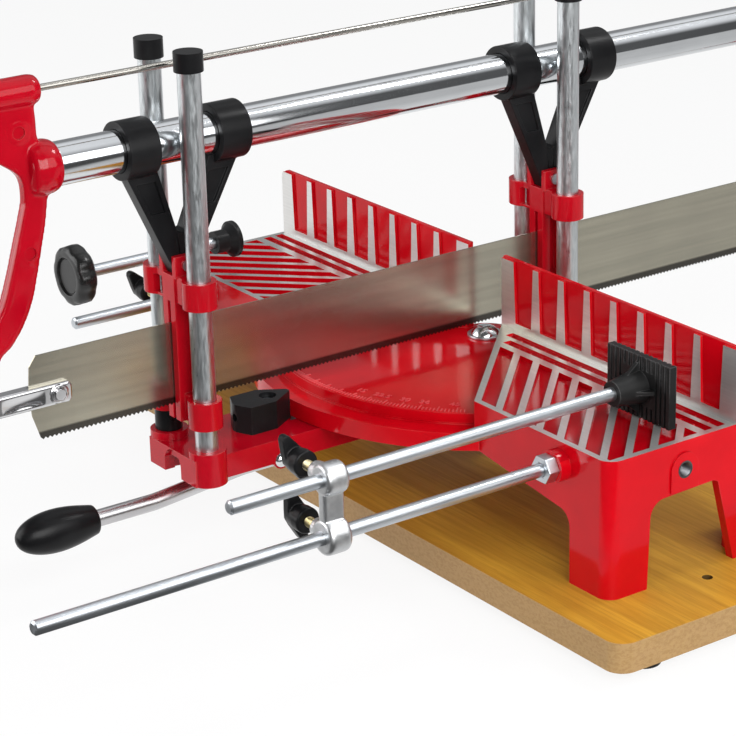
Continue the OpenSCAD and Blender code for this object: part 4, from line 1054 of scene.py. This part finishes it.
def floor_material():
    """White floor: it keeps a soft shadow, glows to the camera and has its own sheen in reflections."""
    m = bpy.data.materials.new("floor_white")
    t = empty_tree(m)
    place = t.nodes.new("ShaderNodeTexCoord").outputs["Object"]
    left = ramp(t, along(t, place, SHEEN_WAY), -0.15, 0.45, 0.95, 0.58)
    front = ramp(t, along(t, place, FRONT_WAY), 0.25, 0.31, 1, 0.12)
    diffuse = node(t, "ShaderNodeBsdfDiffuse", Color=(0.8, 0.8, 0.8, 1))
    sheen = node(t, "ShaderNodeEmission", Color=WHITE, Strength=times(t, left, front))
    glow = node(t, "ShaderNodeEmission", Color=WHITE, Strength=1.0)
    path = t.nodes.new("ShaderNodeLightPath").outputs
    lit = blend(t, path["Is Glossy Ray"], diffuse, sheen)
    seen = blend(t, times(t, path["Is Camera Ray"], FLOOR_GLOW), lit, glow)
    node(t, "ShaderNodeOutputMaterial", Surface=seen.outputs[0])
    return m


def stage():
    """Plain floor under the saw."""
    bm = bmesh.new()
    bmesh.ops.create_grid(bm, x_segments=1, y_segments=1, size=FLOOR_HALF)
    bmesh.ops.translate(bm, verts=bm.verts, vec=(0, 0, FLOOR_Z))
    me = mesh_of(bm, "floor")
    me.materials.append(floor_material())
    floor = placed("floor", me)


def surround():
    """World: white to the camera, and otherwise dim with a few soft boxes."""
    w = bpy.data.worlds.new("surround")
    bpy.context.scene.world = w
    t = empty_tree(w)
    way = t.nodes.new("ShaderNodeTexCoord").outputs["Generated"]
    level = SURROUND_LEVEL
    for toward, outer, inner, strength in SOFTBOXES:
        lobe = ramp(t, along(t, way, Vector(toward).normalized()), outer, inner, 0, strength)
        level = calc(t, "ADD", lobe, level)
    light = node(t, "ShaderNodeBackground", Color=(0.97, 0.98, 1.0, 1), Strength=level)
    white = node(t, "ShaderNodeBackground", Color=WHITE, Strength=1.0)
    path = t.nodes.new("ShaderNodeLightPath").outputs
    direct = calc(t, "MAXIMUM", path["Is Camera Ray"], path["Is Transmission Ray"])
    node(t, "ShaderNodeOutputWorld", Surface=blend(t, direct, light, white).outputs[0])


def lamp(name, place, target, width, watts):
    """Soft square lamp aimed at a point."""
    data = bpy.data.lights.new(name, "AREA")
    data.shape = "SQUARE"
    data.size = width
    data.energy = watts
    o = placed(name, data)
    o.location = place
    o.rotation_euler = (Vector(target) - Vector(place)).to_track_quat("-Z", "Y").to_euler()


def camera():
    """Camera at the photographed angle: azimuth, elevation and roll."""
    azimuth, elevation, roll = (math.radians(a) for a in CAMERA_DEGREES)
    level = math.cos(elevation)
    ahead = Vector((-math.sin(azimuth) * level, math.cos(azimuth) * level, -math.sin(elevation)))
    right = Vector((math.cos(azimuth), math.sin(azimuth), 0))
    up = right.cross(ahead)
    rolled_right = right * math.cos(roll) + up * math.sin(roll)
    rolled_up = up * math.cos(roll) - right * math.sin(roll)
    data = bpy.data.cameras.new("camera")
    data.sensor_width = 36
    data.lens = CAMERA_LENS
    data.clip_start = 0.05
    o = placed("camera", data)
    turn = Matrix((rolled_right, rolled_up, -ahead)).transposed().to_4x4()
    o.matrix_world = Matrix.Translation(CAMERA_PLACE) @ turn
    bpy.context.scene.camera = o


stage()
surround()
for each in LAMPS:
    lamp(*each)
camera()
bpy.context.scene.view_settings.view_transform = "Standard"
